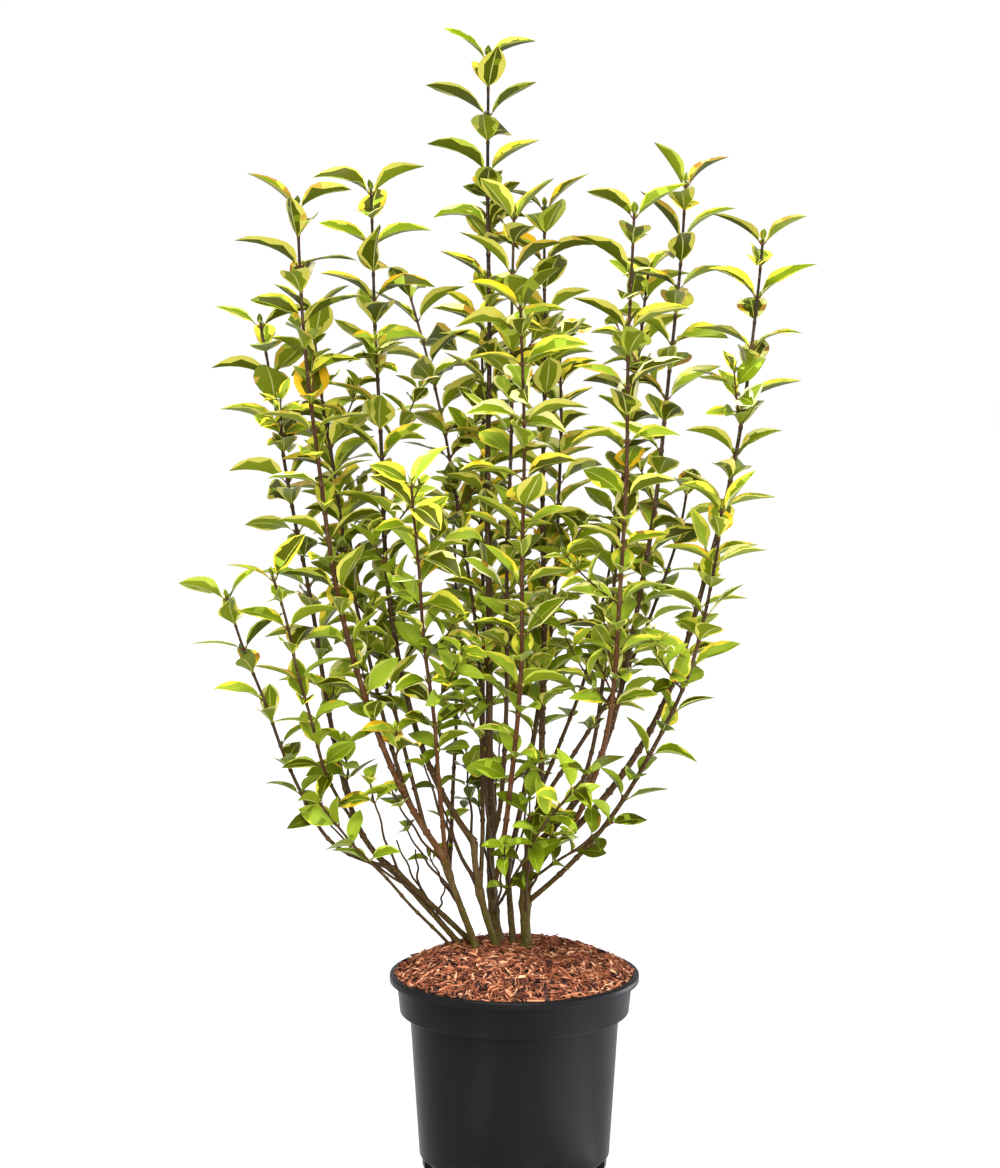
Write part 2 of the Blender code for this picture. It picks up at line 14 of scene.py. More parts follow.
import bpy
import numpy as np
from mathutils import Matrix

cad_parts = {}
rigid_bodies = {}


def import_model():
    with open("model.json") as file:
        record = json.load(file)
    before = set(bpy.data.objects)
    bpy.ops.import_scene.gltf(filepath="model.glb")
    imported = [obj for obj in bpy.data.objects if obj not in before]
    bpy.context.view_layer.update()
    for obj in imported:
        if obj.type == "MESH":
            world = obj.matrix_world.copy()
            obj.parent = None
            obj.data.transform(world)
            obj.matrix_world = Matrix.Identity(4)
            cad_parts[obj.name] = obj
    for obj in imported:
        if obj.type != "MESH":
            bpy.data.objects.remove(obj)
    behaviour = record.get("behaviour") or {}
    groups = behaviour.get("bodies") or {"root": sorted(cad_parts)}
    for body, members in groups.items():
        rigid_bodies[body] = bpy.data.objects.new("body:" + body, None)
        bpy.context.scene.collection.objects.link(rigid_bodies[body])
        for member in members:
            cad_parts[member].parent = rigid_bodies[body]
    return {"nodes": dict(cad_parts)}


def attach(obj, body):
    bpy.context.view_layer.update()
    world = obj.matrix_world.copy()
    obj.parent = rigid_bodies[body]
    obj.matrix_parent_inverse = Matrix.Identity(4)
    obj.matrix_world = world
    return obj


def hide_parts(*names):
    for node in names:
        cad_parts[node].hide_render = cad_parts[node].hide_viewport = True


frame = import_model()

log = logging.getLogger("privet")

Place = tuple[float, float, float]
Colour = tuple[float, float, float]
Span = tuple[float, float]


def linear(*shares: float) -> Colour:
    """Turns a display colour's red, green and blue of 0 to 255 into the linear values of shaders."""
    parts = (share / 255 for share in shares)
    return tuple(c / 12.92 if c <= 0.04045 else ((c + 0.055) / 1.055) ** 2.4 for c in parts)


class Wire:
    """A shader socket on which Python's arithmetic adds Math nodes."""

    def __init__(self, shader: "Shader", socket: bpy.types.NodeSocket) -> None:
        """Keeps the socket with the shader that it belongs to."""
        self.shader = shader
        self.socket = socket

    def math(self, operation: str, first: "Wire | float", second: "Wire | float") -> "Wire":
        """The result of one Math node on two values."""
        return self.shader.add("ShaderNodeMath", {"operation": operation}, {0: first, 1: second})

    def __add__(self, other: "Wire | float") -> "Wire":
        """The sum."""
        return self.math("ADD", self, other)

    def __sub__(self, other: "Wire | float") -> "Wire":
        """The difference."""
        return self.math("SUBTRACT", self, other)

    def __rsub__(self, other: "Wire | float") -> "Wire":
        """The difference, taken from a number."""
        return self.math("SUBTRACT", other, self)

    def __mul__(self, other: "Wire | float") -> "Wire":
        """The product."""
        return self.math("MULTIPLY", self, other)

    __radd__ = __add__
    __rmul__ = __mul__

    def ramp(self, low: float, high: float, first: float = 0.0, last: float = 1.0) -> "Wire":
        """Goes from first at the low value to last at the high one, clamped."""
        sockets = {"Value": self, "From Min": low, "From Max": high, "To Min": first, "To Max": last}
        return self.shader.add("ShaderNodeMapRange", {"clamp": True}, sockets)


class Shader:
    """The nodes of a material or a world round its one surface, built up by expressions."""

    def __init__(self, owner: bpy.types.ID, surface: str = "Principled BSDF") -> None:
        """Finds the surface's node.

        Args:
            owner: The new material or world.
            surface: The name of that node.
        """
        owner.use_nodes = True
        self.owner = owner
        self.tree = owner.node_tree
        self.surface = self.tree.nodes[surface]

    def feed(self, socket: bpy.types.NodeSocket, value: "Wire | float | Sequence[float]") -> None:
        """Links a wire to the socket, or sets its plain value.

        Args:
            socket: The socket to feed.
            value: A wire, a number, a colour or a vector.
        """
        if isinstance(value, Wire):
            self.tree.links.new(value.socket, socket)
        elif socket.type == "RGBA":
            socket.default_value = (*value, 1.0)
        else:
            socket.default_value = value

    def add(self, kind: str, settings: dict, sockets: dict, output: int = 0) -> Wire:
        """Adds any node.

        Args:
            kind: The node's type.
            settings: Its settings.
            sockets: What feeds its inputs, by name or number.
            output: The number of the output to return.

        Returns:
            That output.
        """
        node = self.tree.nodes.new(kind)
        for name, value in settings.items():
            setattr(node, name, value)
        for key, value in sockets.items():
            self.feed(node.inputs[key], value)
        return Wire(self, node.outputs[output])

    def here(self, stretch: Place = (1, 1, 1)) -> Wire:
        """The point on the object, with each axis stretched."""
        point = self.add("ShaderNodeTexCoord", {}, {}, 3)
        return self.add("ShaderNodeMapping", {}, {"Vector": point, "Scale": stretch})

    def height(self, point: Wire) -> Wire:
        """The height of a point."""
        return self.add("ShaderNodeSeparateXYZ", {}, {"Vector": point}, 2)

    def noise(self, scale: float, detail: float = 3.0, stretch: Place = (1, 1, 1)) -> Wire:
        """Soft noise round 0.5, with so many blotches to a metre and so many finer layers."""
        sockets = {"Vector": self.here(stretch), "Scale": scale, "Detail": detail}
        return self.add("ShaderNodeTexNoise", {}, sockets)

    def cells(self, scale: float, stretch: Place = (1, 1, 1)) -> Wire:
        """The distance to the nearest of many scattered points, so many to a metre."""
        return self.add("ShaderNodeTexVoronoi", {}, {"Vector": self.here(stretch), "Scale": scale})

    def mix(self, share: "Wire | float", first: "Wire | Colour", second: "Wire | Colour") -> Wire:
        """Mixes two colours, with this share of the second."""
        return self.add("ShaderNodeMix", {"data_type": "RGBA"}, {0: share, 6: first, 7: second}, 2)

    def paint(self, **sockets: "Wire | float | Colour") -> None:
        """Feeds the surface's sockets; an underscore stands for a blank in a socket's name."""
        for name, value in sockets.items():
            self.feed(self.surface.inputs[name.replace("_", " ")], value)

    def roughen(self, height: Wire, strength: float, distance: float) -> None:
        """Bumps the surface, where a height of 1 stands out by the distance in metres."""
        sockets = {"Strength": strength, "Distance": distance, "Height": height}
        self.paint(Normal=self.add("ShaderNodeBump", {}, sockets))


def fresh_material(name: str) -> Shader:
    """Starts a material of that name."""
    return Shader(bpy.data.materials.new(name))


@dataclass(frozen=True)
class MouldedPlastic:
    """Matt black moulded plastic with fine grain, faint flow marks and a dusty foot."""

    colour: Colour = linear(16, 16, 17)
    marks: Colour = linear(22, 22, 24)
    dust: Colour = linear(48, 44, 40)
    roughness: float = 0.30
    sheen: float = 0.05
    dusty_height: float = 0.05
    grain_scale: float = 1400.0
    grain_depth: float = 0.0003

    def material(self) -> bpy.types.Material:
        """Builds the material.

        Returns:
            The material.
        """
        shader = fresh_material("black_plastic")
        flow = shader.noise(9.0, 2.0, (1, 1, 0.25)).ramp(0.42, 0.7)
        low = 1 - shader.height(shader.here()).ramp(0.0, self.dusty_height)
        dusty = low * shader.noise(55.0, 5.0).ramp(0.5, 0.85) * 0.5
        body = shader.mix(flow * 0.6, self.colour, self.marks)
        grain = shader.noise(self.grain_scale, 2.0)
        shader.paint(
            Base_Color=shader.mix(dusty, body, self.dust),
            Roughness=grain * 0.08 + flow * 0.06 + dusty * 0.3 + self.roughness,
            Specular_IOR_Level=self.sheen,
        )
        shader.roughen(grain, 0.12, self.grain_depth)
        return shader.owner


class BarkTone(Enum):
    """The barks of the stool: each a colour at the foot, half way and at the young top."""

    OLIVE = ((70, 62, 16), (84, 52, 22), (46, 33, 24))
    UMBER = ((66, 52, 16), (66, 45, 20), (42, 31, 24))
    RUSSET = ((84, 54, 20), (84, 50, 22), (58, 38, 26))


@dataclass(frozen=True)
class Bark:
    """Smooth young bark with fine upright fissures and pale pores.

    Its tone goes over from the foot to half way between low and middle, and to the top by high.
    """

    tone: BarkTone
    low: float = 0.24
    middle: float = 0.42
    high: float = 0.95
    pores: Colour = linear(122, 100, 72)
    fissure: Colour = linear(24, 17, 8)
    roughness: float = 0.55
    sheen: float = 0.12
    depth: float = 0.0003

    def material(self) -> bpy.types.Material:
        """Builds the material.

        Returns:
            The material.
        """
        shader = fresh_material("bark_" + self.tone.name.lower())
        foot, half_way, top = (linear(*colour) for colour in self.tone.value)
        height = shader.height(shader.here())
        ground = shader.mix(height.ramp(self.low, self.middle), foot, half_way)
        ground = shader.mix(height.ramp(self.middle, self.high), ground, top)
        streaks = shader.noise(1100.0, 4.0, (1, 1, 0.07))
        blotches = shader.noise(60.0, 3.0, (1, 1, 0.5))
        worn = shader.mix(streaks.ramp(0.62, 0.3) * 0.55, ground, self.fissure)
        worn = shader.mix(blotches.ramp(0.55, 0.8) * 0.35, worn, self.pores)
        pores = shader.cells(330.0, (1, 1, 0.6)).ramp(0.26, 0.14)
        shader.paint(
            Base_Color=shader.mix(pores * 0.7, worn, self.pores),
            Roughness=streaks * 0.2 + self.roughness,
            Specular_IOR_Level=self.sheen,
        )
        shader.roughen(streaks * 0.8 + pores, 0.5, self.depth)
        return shader.owner


@dataclass(frozen=True)
class Soil:
    """The dark shreds and crumbs that show between the chips of bark."""

    colour: Colour = linear(64, 31, 21)
    shade: Colour = linear(20, 10, 7)
    roughness: float = 0.9
    depth: float = 0.0012

    def material(self) -> bpy.types.Material:
        """Builds the material.

        Returns:
            The material.
        """
        shader = fresh_material("mulch_crumbs")
        crumbs = shader.cells(420.0, (1, 1.8, 1))
        clumps = shader.noise(130.0, 4.0)
        lit = crumbs.ramp(0.1, 0.7) * clumps.ramp(0.2, 0.6)
        shader.paint(Base_Color=shader.mix(lit, self.shade, self.colour), Roughness=self.roughness)
        shader.roughen(crumbs + clumps, 0.8, self.depth)
        return shader.owner


class Chip(Enum):
    """The plain colours of the bark shreds."""

    UMBER = (74, 37, 25)
    RUST = (118, 65, 43)
    COPPER = (146, 86, 59)
    SALMON = (176, 115, 83)
    STRAW = (206, 156, 120)
    DARK = (32, 16, 11)


class Tint(Enum):
    """The plain colours of leaf, rib, bud and leaf stalk, with painted sheen in the pale margins."""

    DEEP = (61, 65, 4)
    GREEN = (92, 108, 13)
    FRESH = (126, 145, 36)
    SAGE = (154, 162, 66)
    LIME = (177, 174, 52)
    # Lemon and cream: pale margin colours paled further, partly painted sheen for the leaves' gloss
    # highlights
    LEMON = (193, 190, 116)
    CREAM = (214, 212, 166)
    YELLOW = (200, 181, 50)
    GOLD = (184, 146, 22)
    BLUSH = (142, 104, 34)
    RIB = (150, 156, 62)
    UNDER_DEEP = (68, 76, 8)
    UNDER_GREEN = (105, 117, 22)
    UNDER_LIME = (158, 168, 58)
    UNDER_LEMON = (186, 180, 78)
    UNDER_GOLD = (176, 150, 56)
    UNDER_RIB = (164, 168, 96)
    BUD = (70, 84, 26)
    STALK = (88, 54, 26)
    WOOD = (58, 42, 24)


SLOTS = {tint: slot for slot, tint in enumerate(Tint)}

UNDERSIDES = {
    Tint.DEEP: Tint.UNDER_DEEP,
    Tint.GREEN: Tint.UNDER_GREEN,
    Tint.FRESH: Tint.UNDER_GREEN,
    Tint.SAGE: Tint.UNDER_LIME,
    Tint.LIME: Tint.UNDER_LIME,
    Tint.LEMON: Tint.UNDER_LEMON,
    Tint.CREAM: Tint.UNDER_LEMON,
    Tint.YELLOW: Tint.UNDER_LEMON,
    Tint.GOLD: Tint.UNDER_GOLD,
    Tint.BLUSH: Tint.UNDER_GOLD,
}

GREENS = {Tint.DEEP: (0.62, -0.55), Tint.GREEN: (0.35, 0.0), Tint.FRESH: (0.03, 0.55)}
BANDS = {Tint.SAGE: (0.12, 0.0), Tint.LIME: (0.33, 0.3), Tint.FRESH: (0.55, -0.3)}
# The lemon and cream margins are partly painted sheen.
MARGINS = {Tint.LIME: (1.0, -0.8), Tint.LEMON: (0.45, 0.0), Tint.YELLOW: (0.30, 0.6),
           Tint.CREAM: (0.0, 0.26), Tint.GOLD: (0.0, 0.14), Tint.BLUSH: (0.0, 0.07)}


def chances(table: dict[Tint, Span], share: float) -> np.ndarray:
    """How likely each colour of a table is, with its weight at a share of 0 and what 1 adds to it."""
    weights = np.array([start + change * share for start, change in table.values()])
    return weights / weights.sum()


@dataclass(frozen=True)
class PlainTissue:
    """The plain colours of a many-coloured piece, all with the gloss of its kind."""

    colours: type[Enum]
    roughness: float
    sheen: float = 0.12

    def materials(self) -> list[bpy.types.Material]:
        """Builds one material for each colour.

        Returns:
            The materials, in the order of the names.
        """
        made = []
        for tint in self.colours:
            shader = fresh_material(f"{self.colours.__name__.lower()}_{tint.name.lower()}")
            shader.paint(Base_Color=linear(*tint.value), Roughness=self.roughness,
                         Specular_IOR_Level=self.sheen)
            made.append(shader.owner)
        return made


def unit(vectors: np.ndarray) -> np.ndarray:
    """The vectors at length 1."""
    return vectors / np.linalg.norm(vectors, axis=-1, keepdims=True)


def square_to(along: np.ndarray, side: np.ndarray) -> np.ndarray:
    """The part of side that is square to along, at length 1."""
    return unit(side - along * np.sum(along * side, axis=-1, keepdims=True))


@dataclass(frozen=True)
class Path:
    """A rising curve that makes part of its sideways travel early, near its foot.

    spread is the share of the travel made early, snap says how early, bow bulges the middle along
    X, and wander sways the curve a little to and fro.
    """

    foot: Place
    tip: Place
    spread: float
    snap: float
    bow: float
    wander: float = 0.0
    phase: float = 0.0

    def points(self, shares: np.ndarray) -> np.ndarray:
        """The points at these shares of the height.

        Args:
            shares: Shares from 0 to 1.

        Returns:
            One row of coordinates for each share.
        """
        early = 1 - (1 - shares) ** self.snap
        travel = self.spread * early + (1 - self.spread) * shares
        foot, tip = np.array(self.foot), np.array(self.tip)
        places = foot + (tip - foot) * travel[:, None]
        places[:, 2] = foot[2] + (tip[2] - foot[2]) * shares
        places[:, 0] += 4 * shares * (1 - shares) * self.bow
        held = np.sin(math.pi * shares) * self.wander
        places[:, 0] += held * np.sin(15 * shares + self.phase)
        places[:, 1] += held * np.sin(11 * shares + 2 * self.phase)
        return places


@dataclass(frozen=True)
class Node:
    """A node of a limb: its middle, the limb's direction there and the limb's radius."""

    place: np.ndarray
    along: np.ndarray
    radius: float = 0.0

    def facing(self, angle: float) -> tuple[np.ndarray, np.ndarray]:
        """The directions of a leaf there, on a limb that may lean.

        Args:
            angle: The leaf's compass angle, in radians.

        Returns:
            The unit vectors outward and upward.
        """
        up = unit(self.along * 0.72 + np.array([0, 0, 0.28]))
        level = np.array([math.cos(angle), math.sin(angle), 0.0])
        return square_to(up, level), up


class Axis:
    """A path walked by its length, with its direction everywhere."""

    step = 0.003

    def __init__(self, path: Path, samples: int = 600) -> None:
        """Measures the path.

        Args:
            path: The path.
            samples: At how many points it is measured.
        """
        self.shares = np.linspace(0, 1, samples)
        self.places = path.points(self.shares)
        steps = np.linalg.norm(np.diff(self.places, axis=0), axis=1)
        self.walked = np.concatenate(([0.0], np.cumsum(steps)))
        self.length = float(self.walked[-1])

    def place(self, walked: np.ndarray) -> np.ndarray:
        """The points at these lengths from the foot."""
        return np.stack([np.interp(walked, self.walked, self.places[:, k]) for k in range(3)], axis=-1)

    def along(self, walked: np.ndarray) -> np.ndarray:
        """The unit vectors along the curve at these lengths from the foot."""
        low = np.clip(walked - self.step, 0, self.length - self.step)
        return unit(self.place(low + 2 * self.step) - self.place(low))

    def node(self, walked: float, radius: float = 0.0) -> Node:
        """The node at this length from the foot."""
        there = np.array(walked)
        return Node(self.place(there), self.along(there), radius)

    def share(self, walked: np.ndarray) -> np.ndarray:
        """The shares of the height at these lengths from the foot."""
        return np.interp(walked, self.walked, self.shares)

    def walked_at(self, share: float) -> float:
        """The length from the foot at this share of the height."""
        return float(np.interp(share, self.shares, self.walked))


class Pile:
    """Gathers many small shapes into one mesh, each face with the number of its colour."""

    def __init__(self) -> None:
        """Starts empty."""
        self.vertices: list[np.ndarray] = []
        self.faces: list[tuple[int, ...]] = []
        self.slots: list[int] = []
        self.count = 0

    def add(self, vertices: np.ndarray, faces: Sequence[tuple], slots: Sequence[int]) -> None:
        """Adds one shape.

        Args:
            vertices: Its points.
            faces: Its faces, as numbers of its own points.
            slots: The colour of each face.
        """
        self.vertices.append(vertices)
        self.faces.extend(tuple(i + self.count for i in face) for face in faces)
        self.slots.extend(slots)
        self.count += len(vertices)

    def tube(self, middles: np.ndarray, radii: np.ndarray, sides: int, slot: int) -> None:
        """Adds a closed tube.

        Args:
            middles: The middle of each ring.
            radii: The radius of each ring.
            sides: How many points a ring has.
            slot: The colour of its faces.
        """
        along = unit(np.gradient(middles, axis=0))
        across = square_to(along, np.broadcast_to([1.0, 0.001, 0.0], along.shape))
        other = np.cross(along, across)
        angles = 2 * math.pi * np.arange(sides) / sides
        round_it = across[:, None] * np.cos(angles)[:, None] + other[:, None] * np.sin(angles)[:, None]
        rings = (middles[:, None] + round_it * radii[:, None, None]).reshape(-1, 3)
        ends = np.array([middles[0], middles[-1]])
        bottom, top, last = len(rings), len(rings) + 1, len(rings) - sides
        pairs = [(i, (i + 1) % sides) for i in range(sides)]
        faces = [(low + i, low + j, low + sides + j, low + sides + i)
                 for low in range(0, last, sides) for i, j in pairs]
        for i, j in pairs:
            faces += [(bottom, j, i), (top, last + i, last + j)]
        self.add(np.concatenate([rings, ends]), faces, [slot] * len(faces))

    def piece(self, name: str, materials: Sequence[bpy.types.Material], crease: float) -> bpy.types.Object:
        """Makes the mesh object.

        Args:
            name: Its name.
            materials: The material of each colour number.
            crease: The angle in degrees past which an edge stays sharp.

        Returns:
            The object, in the scene.
        """
        mesh = bpy.data.meshes.new(name)
        mesh.from_pydata(np.concatenate(self.vertices).tolist(), [], self.faces)
        for material in materials:
            mesh.materials.append(material)
        mesh.polygons.foreach_set("material_index", self.slots)
        mesh.shade_smooth()
        mesh.set_sharp_from_angle(angle=math.radians(crease))
        obj = bpy.data.objects.new(name, mesh)
        bpy.context.scene.collection.objects.link(obj)
        return obj


def keep(obj: bpy.types.Object, slot: str, *nodes: str) -> None:
    """Lets a finished piece ride on the plant's one body and stand for its nodes.

    Args:
        obj: The piece.
        slot: Not used.
        nodes: The nodes that it replaces.
    """
    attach(obj, "root")
    if nodes:
        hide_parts(*nodes)
    log.info("%s: %d faces, for %s", obj.name, len(obj.data.polygons), ", ".join(nodes) or "no node")


class Bench:
    """Blender's own modelling tools, as used by hand on one object."""

    @staticmethod
    def pick(*objects: bpy.types.Object) -> None:
        """Leaves edit mode and selects these objects alone.

        Args:
            objects: The objects, none to clear the bench.
        """
        if bpy.context.object and bpy.context.object.mode == "EDIT":
            bpy.ops.object.mode_set(mode="OBJECT")
        bpy.ops.object.select_all(action="DESELECT")
        for obj in objects:
            obj.select_set(True)
            bpy.context.view_layer.objects.active = obj

    @staticmethod
    def close() -> None:
        """Merges the doubles of the mesh being edited, turns its faces outwards and ends the edit."""
        bpy.ops.mesh.select_all(action="SELECT")
        bpy.ops.mesh.remove_doubles(threshold=1e-6)
        bpy.ops.mesh.normals_make_consistent(inside=False)
        bpy.ops.object.mode_set(mode="OBJECT")

    @staticmethod
    def pull(profile: Sequence[tuple[float, float]], sides: int, name: str) -> bpy.types.Object:
        """Draws up a round wall: a ring, extruded and scaled from one profile point to the next.

        Args:
            profile: Radius and height of each ring, in order.
            sides: How many points a ring has.
            name: The object's name.

        Returns:
            The object, closed at both ends.
        """
        Bench.pick()
        radius, height = profile[0]
        bpy.ops.mesh.primitive_circle_add(vertices=sides, radius=radius, location=(0, 0, height))
        obj = bpy.context.object
        obj.name = name
        bpy.ops.object.mode_set(mode="EDIT")
        bpy.ops.mesh.select_all(action="SELECT")
        bpy.ops.mesh.edge_face_add()
        bpy.ops.mesh.select_all(action="SELECT")
        bpy.ops.mesh.duplicate()
        bpy.ops.mesh.delete(type="ONLY_FACE")
        bpy.ops.mesh.select_non_manifold(extend=False)
        for next_radius, next_height in profile[1:]:
            move = {"value": (0, 0, next_height - height)}
            bpy.ops.mesh.extrude_edges_move(TRANSFORM_OT_translate=move)
            grow = next_radius / radius
            bpy.ops.transform.resize(value=(grow, grow, 1), center_override=(0, 0, next_height))
            radius, height = next_radius, next_height
        bpy.ops.mesh.edge_face_add()
        Bench.close()
        bpy.ops.object.transform_apply(location=True, rotation=True, scale=True)
        return obj

    @staticmethod
    def draw(middles: np.ndarray, radii: np.ndarray, roundness: int, name: str) -> bpy.types.Object:
        """Draws a limb: a path through these points, given its thickness, capped and made a mesh.

        Args:
            middles: The points of the path.
            radii: The limb's radius at each of them.
            roundness: How finely it is rounded; a ring has four points and two more for each step.
            name: The object's name.

        Returns:
            The object, closed at both ends.
        """
        Bench.pick()
        bpy.ops.curve.primitive_nurbs_path_add(location=(0, 0, 0))
        obj = bpy.context.object
        obj.name = name
        line = obj.data.splines[0]
        line.type = "POLY"
        line.points.add(len(middles) - len(line.points))
        line.points.foreach_set("co", np.column_stack([middles, np.ones(len(middles))]).ravel())
        line.points.foreach_set("radius", radii / radii.max())
        obj.data.bevel_depth = float(radii.max())
        obj.data.bevel_resolution = roundness
        obj.data.use_fill_caps = True
        bpy.ops.object.convert(target="MESH")
        bpy.ops.object.mode_set(mode="EDIT")
        Bench.close()
        return obj

    @staticmethod
    def apply(obj: bpy.types.Object, kind: str, **settings: object) -> None:
        """Adds one modifier and applies it.

        Args:
            obj: The object.
            kind: The modifier's type.
            settings: Its settings.
        """
        Bench.pick(obj)
        modifier = obj.modifiers.new(kind.lower(), kind)
        for name, value in settings.items():
            setattr(modifier, name, value)
        bpy.ops.object.modifier_apply(modifier=modifier.name)

    @staticmethod
    def dress(obj: bpy.types.Object, crease: float, material: bpy.types.Material) -> None:
        """Shades the object smooth and gives it its one material.

        Args:
            obj: The object.
            crease: The angle in degrees past which an edge stays sharp.
            material: The material.
        """
        Bench.pick(obj)
        bpy.ops.object.shade_smooth_by_angle(angle=math.radians(crease))
        obj.data.materials.clear()
        obj.data.materials.append(material)


@dataclass
class Pot:
    """The round nursery pot with its rim, collar, tapering body and ring of feet.

    A round is the radius of a rounded edge, and a drop or step a small height or width beside one.
    notch is the size of the boxes that part the feet.
    """

    height: float = 0.205
    rim_radius: float = 0.130
    rim_width: float = 0.0065
    rim_depth: float = 0.008
    rim_round: float = 0.0022
    rim_inner_round: float = 0.0010
    rim_lower_round: float = 0.0009
    collar_top: float = 0.1225
    collar_foot: float = 0.1195
    collar_height: float = 0.165
    collar_round: float = 0.0016
    collar_drop: float = 0.002
    collar_step: float = 0.0008
    body_top: float = 0.1100
    body_foot: float = 0.0995
    body_height: float = 0.013
    body_round: float = 0.0022
    body_step: float = 0.0006
    body_drop: float = 0.006
    hollow_round: float = 0.0018
    hollow_step: float = 0.0012
    hollow_drop: float = 0.0024
    mouth_drop: float = 0.005
    wall: float = 0.002
    floor: float = 0.0155
    foot_outer: float = 0.0965
    foot_inner: float = 0.080
    foot_round: float = 0.0012
    foot_step: float = 0.0003
    foot_drop: float = 0.003
    recess: float = 0.0005
    pad: float = 0.030
    feet: int = 8
    notch: tuple[float, ...] = (0.0235, 0.026, 0.012)
    notch_height: float = 0.004
    notch_round: float = 0.0015
    drain: float = 0.006
    drain_sides: int = 32
    drain_length: float = 0.012
    drain_height: float = 0.014
    drain_margin: float = 0.004
    sides: int = 160
    crease: float = 32.0

    def round_off(self, middle: tuple[float, float], radius: float, start: float,
                  end: float) -> list[tuple[float, float]]:
        """Five points of an arc round a middle, from one angle to another in degrees from outwards."""
        angles = (math.radians(start + (end - start) * i / 4) for i in range(5))
        return [(middle[0] + radius * math.cos(a), middle[1] + radius * math.sin(a)) for a in angles]

    def profile(self) -> list[tuple[float, float]]:
        """Draws the wall from the middle pad, out and up, over the rim and down inside.

        Returns:
            Radius and height of each ring.
        """
        lip = self.height - self.rim_depth
        inner_lip = self.rim_radius - self.rim_width
        edge, hem, bead, top = self.foot_round, self.collar_round, self.rim_lower_round, self.rim_round
        return [
            (self.pad, 0),
            (self.pad, self.body_height - self.recess),
            (self.foot_inner, self.body_height - self.recess),
            (self.foot_inner, 0),
            *self.round_off((self.foot_outer - edge, edge), edge, -90, 0),
            (self.foot_outer + self.foot_step, self.body_height - self.foot_drop),
            *self.round_off((self.body_foot - self.body_round, self.body_height + self.body_step),
                            self.body_round, -60, 0),
            (self.body_top - self.hollow_step, self.collar_height - self.body_drop),
            *self.round_off((self.body_top + self.hollow_step, self.collar_height - self.hollow_drop),
                            self.hollow_round, 180, 110),
            *self.round_off((self.collar_foot - hem, self.collar_height + self.collar_step), hem, -75, 0),
            (self.collar_top, lip - self.collar_drop),
            *self.round_off((self.collar_top + hem, lip - self.collar_drop), hem, 180, 100),
            *self.round_off((self.rim_radius - bead, lip + bead), bead, -90, 0),
            *self.round_off((self.rim_radius - top, self.height - top), top, 0, 90),
            *self.round_off((inner_lip + self.rim_inner_round, self.height - self.rim_inner_round),
                            self.rim_inner_round, 90, 180),
            (self.collar_top - self.wall, self.height - self.mouth_drop),
            (self.collar_foot - self.wall, self.collar_height + self.wall),
            (self.body_top - self.wall, self.collar_height + self.wall / 2),
            (self.body_foot - self.wall, self.floor),
            (self.pad, self.floor),
        ]

    def cutters(self) -> Iterator[bpy.types.Object]:
        """Makes the boxes that part the feet, and then the pegs that drill the drains.

        Returns:
            One cutter after the other.
        """
        bearings = [2 * math.pi * (i + 0.5) / self.feet for i in range(self.feet)]
        reach = (self.foot_inner + self.foot_outer) / 2
        for angle in bearings:
            Bench.pick()
            place = (reach * math.cos(angle), reach * math.sin(angle), self.notch_height)
            bpy.ops.mesh.primitive_cube_add(size=1, location=place, rotation=(0, 0, angle), scale=self.notch)
            Bench.apply(bpy.context.object, "BEVEL", width=self.notch_round, segments=3)
            yield bpy.context.object
        reach = self.foot_inner - self.drain - self.drain_margin
        for angle in bearings:
            Bench.pick()
            place = (reach * math.cos(angle), reach * math.sin(angle), self.drain_height)
            bpy.ops.mesh.primitive_cylinder_add(vertices=self.drain_sides, radius=self.drain,
                                                depth=self.drain_length, location=place)
            yield bpy.context.object

    def build(self) -> None:
        """Models the pot, dresses it and lets it stand for its solid."""
        pot = Bench.pull(self.profile(), self.sides, "pot_shell")
        for cutter in list(self.cutters()):
            Bench.apply(pot, "BOOLEAN", operation="DIFFERENCE", solver="EXACT", object=cutter)
            bpy.data.objects.remove(cutter)
        Bench.dress(pot, self.crease, MouldedPlastic().material())
        keep(pot, "pot_plastic", "pot")


def turned(points: np.ndarray, yaw: float, pitch: float, roll: float) -> np.ndarray:
    """Turns points about X, then Y, then Z.

    Args:
        points: The points.
        yaw: The angle about Z, in radians.
        pitch: The angle about Y.
        roll: The angle about X.

    Returns:
        The turned points.
    """
    cy, sy, cp, sp, cr, sr = (f(a) for a in (yaw, pitch, roll) for f in (math.cos, math.sin))
    about_x = np.array([[1, 0, 0], [0, cr, -sr], [0, sr, cr]])
    about_y = np.array([[cp, 0, sp], [0, 1, 0], [-sp, 0, cp]])
    about_z = np.array([[cy, -sy, 0], [sy, cy, 0], [0, 0, 1]])
    return points @ (about_z @ about_y @ about_x).T


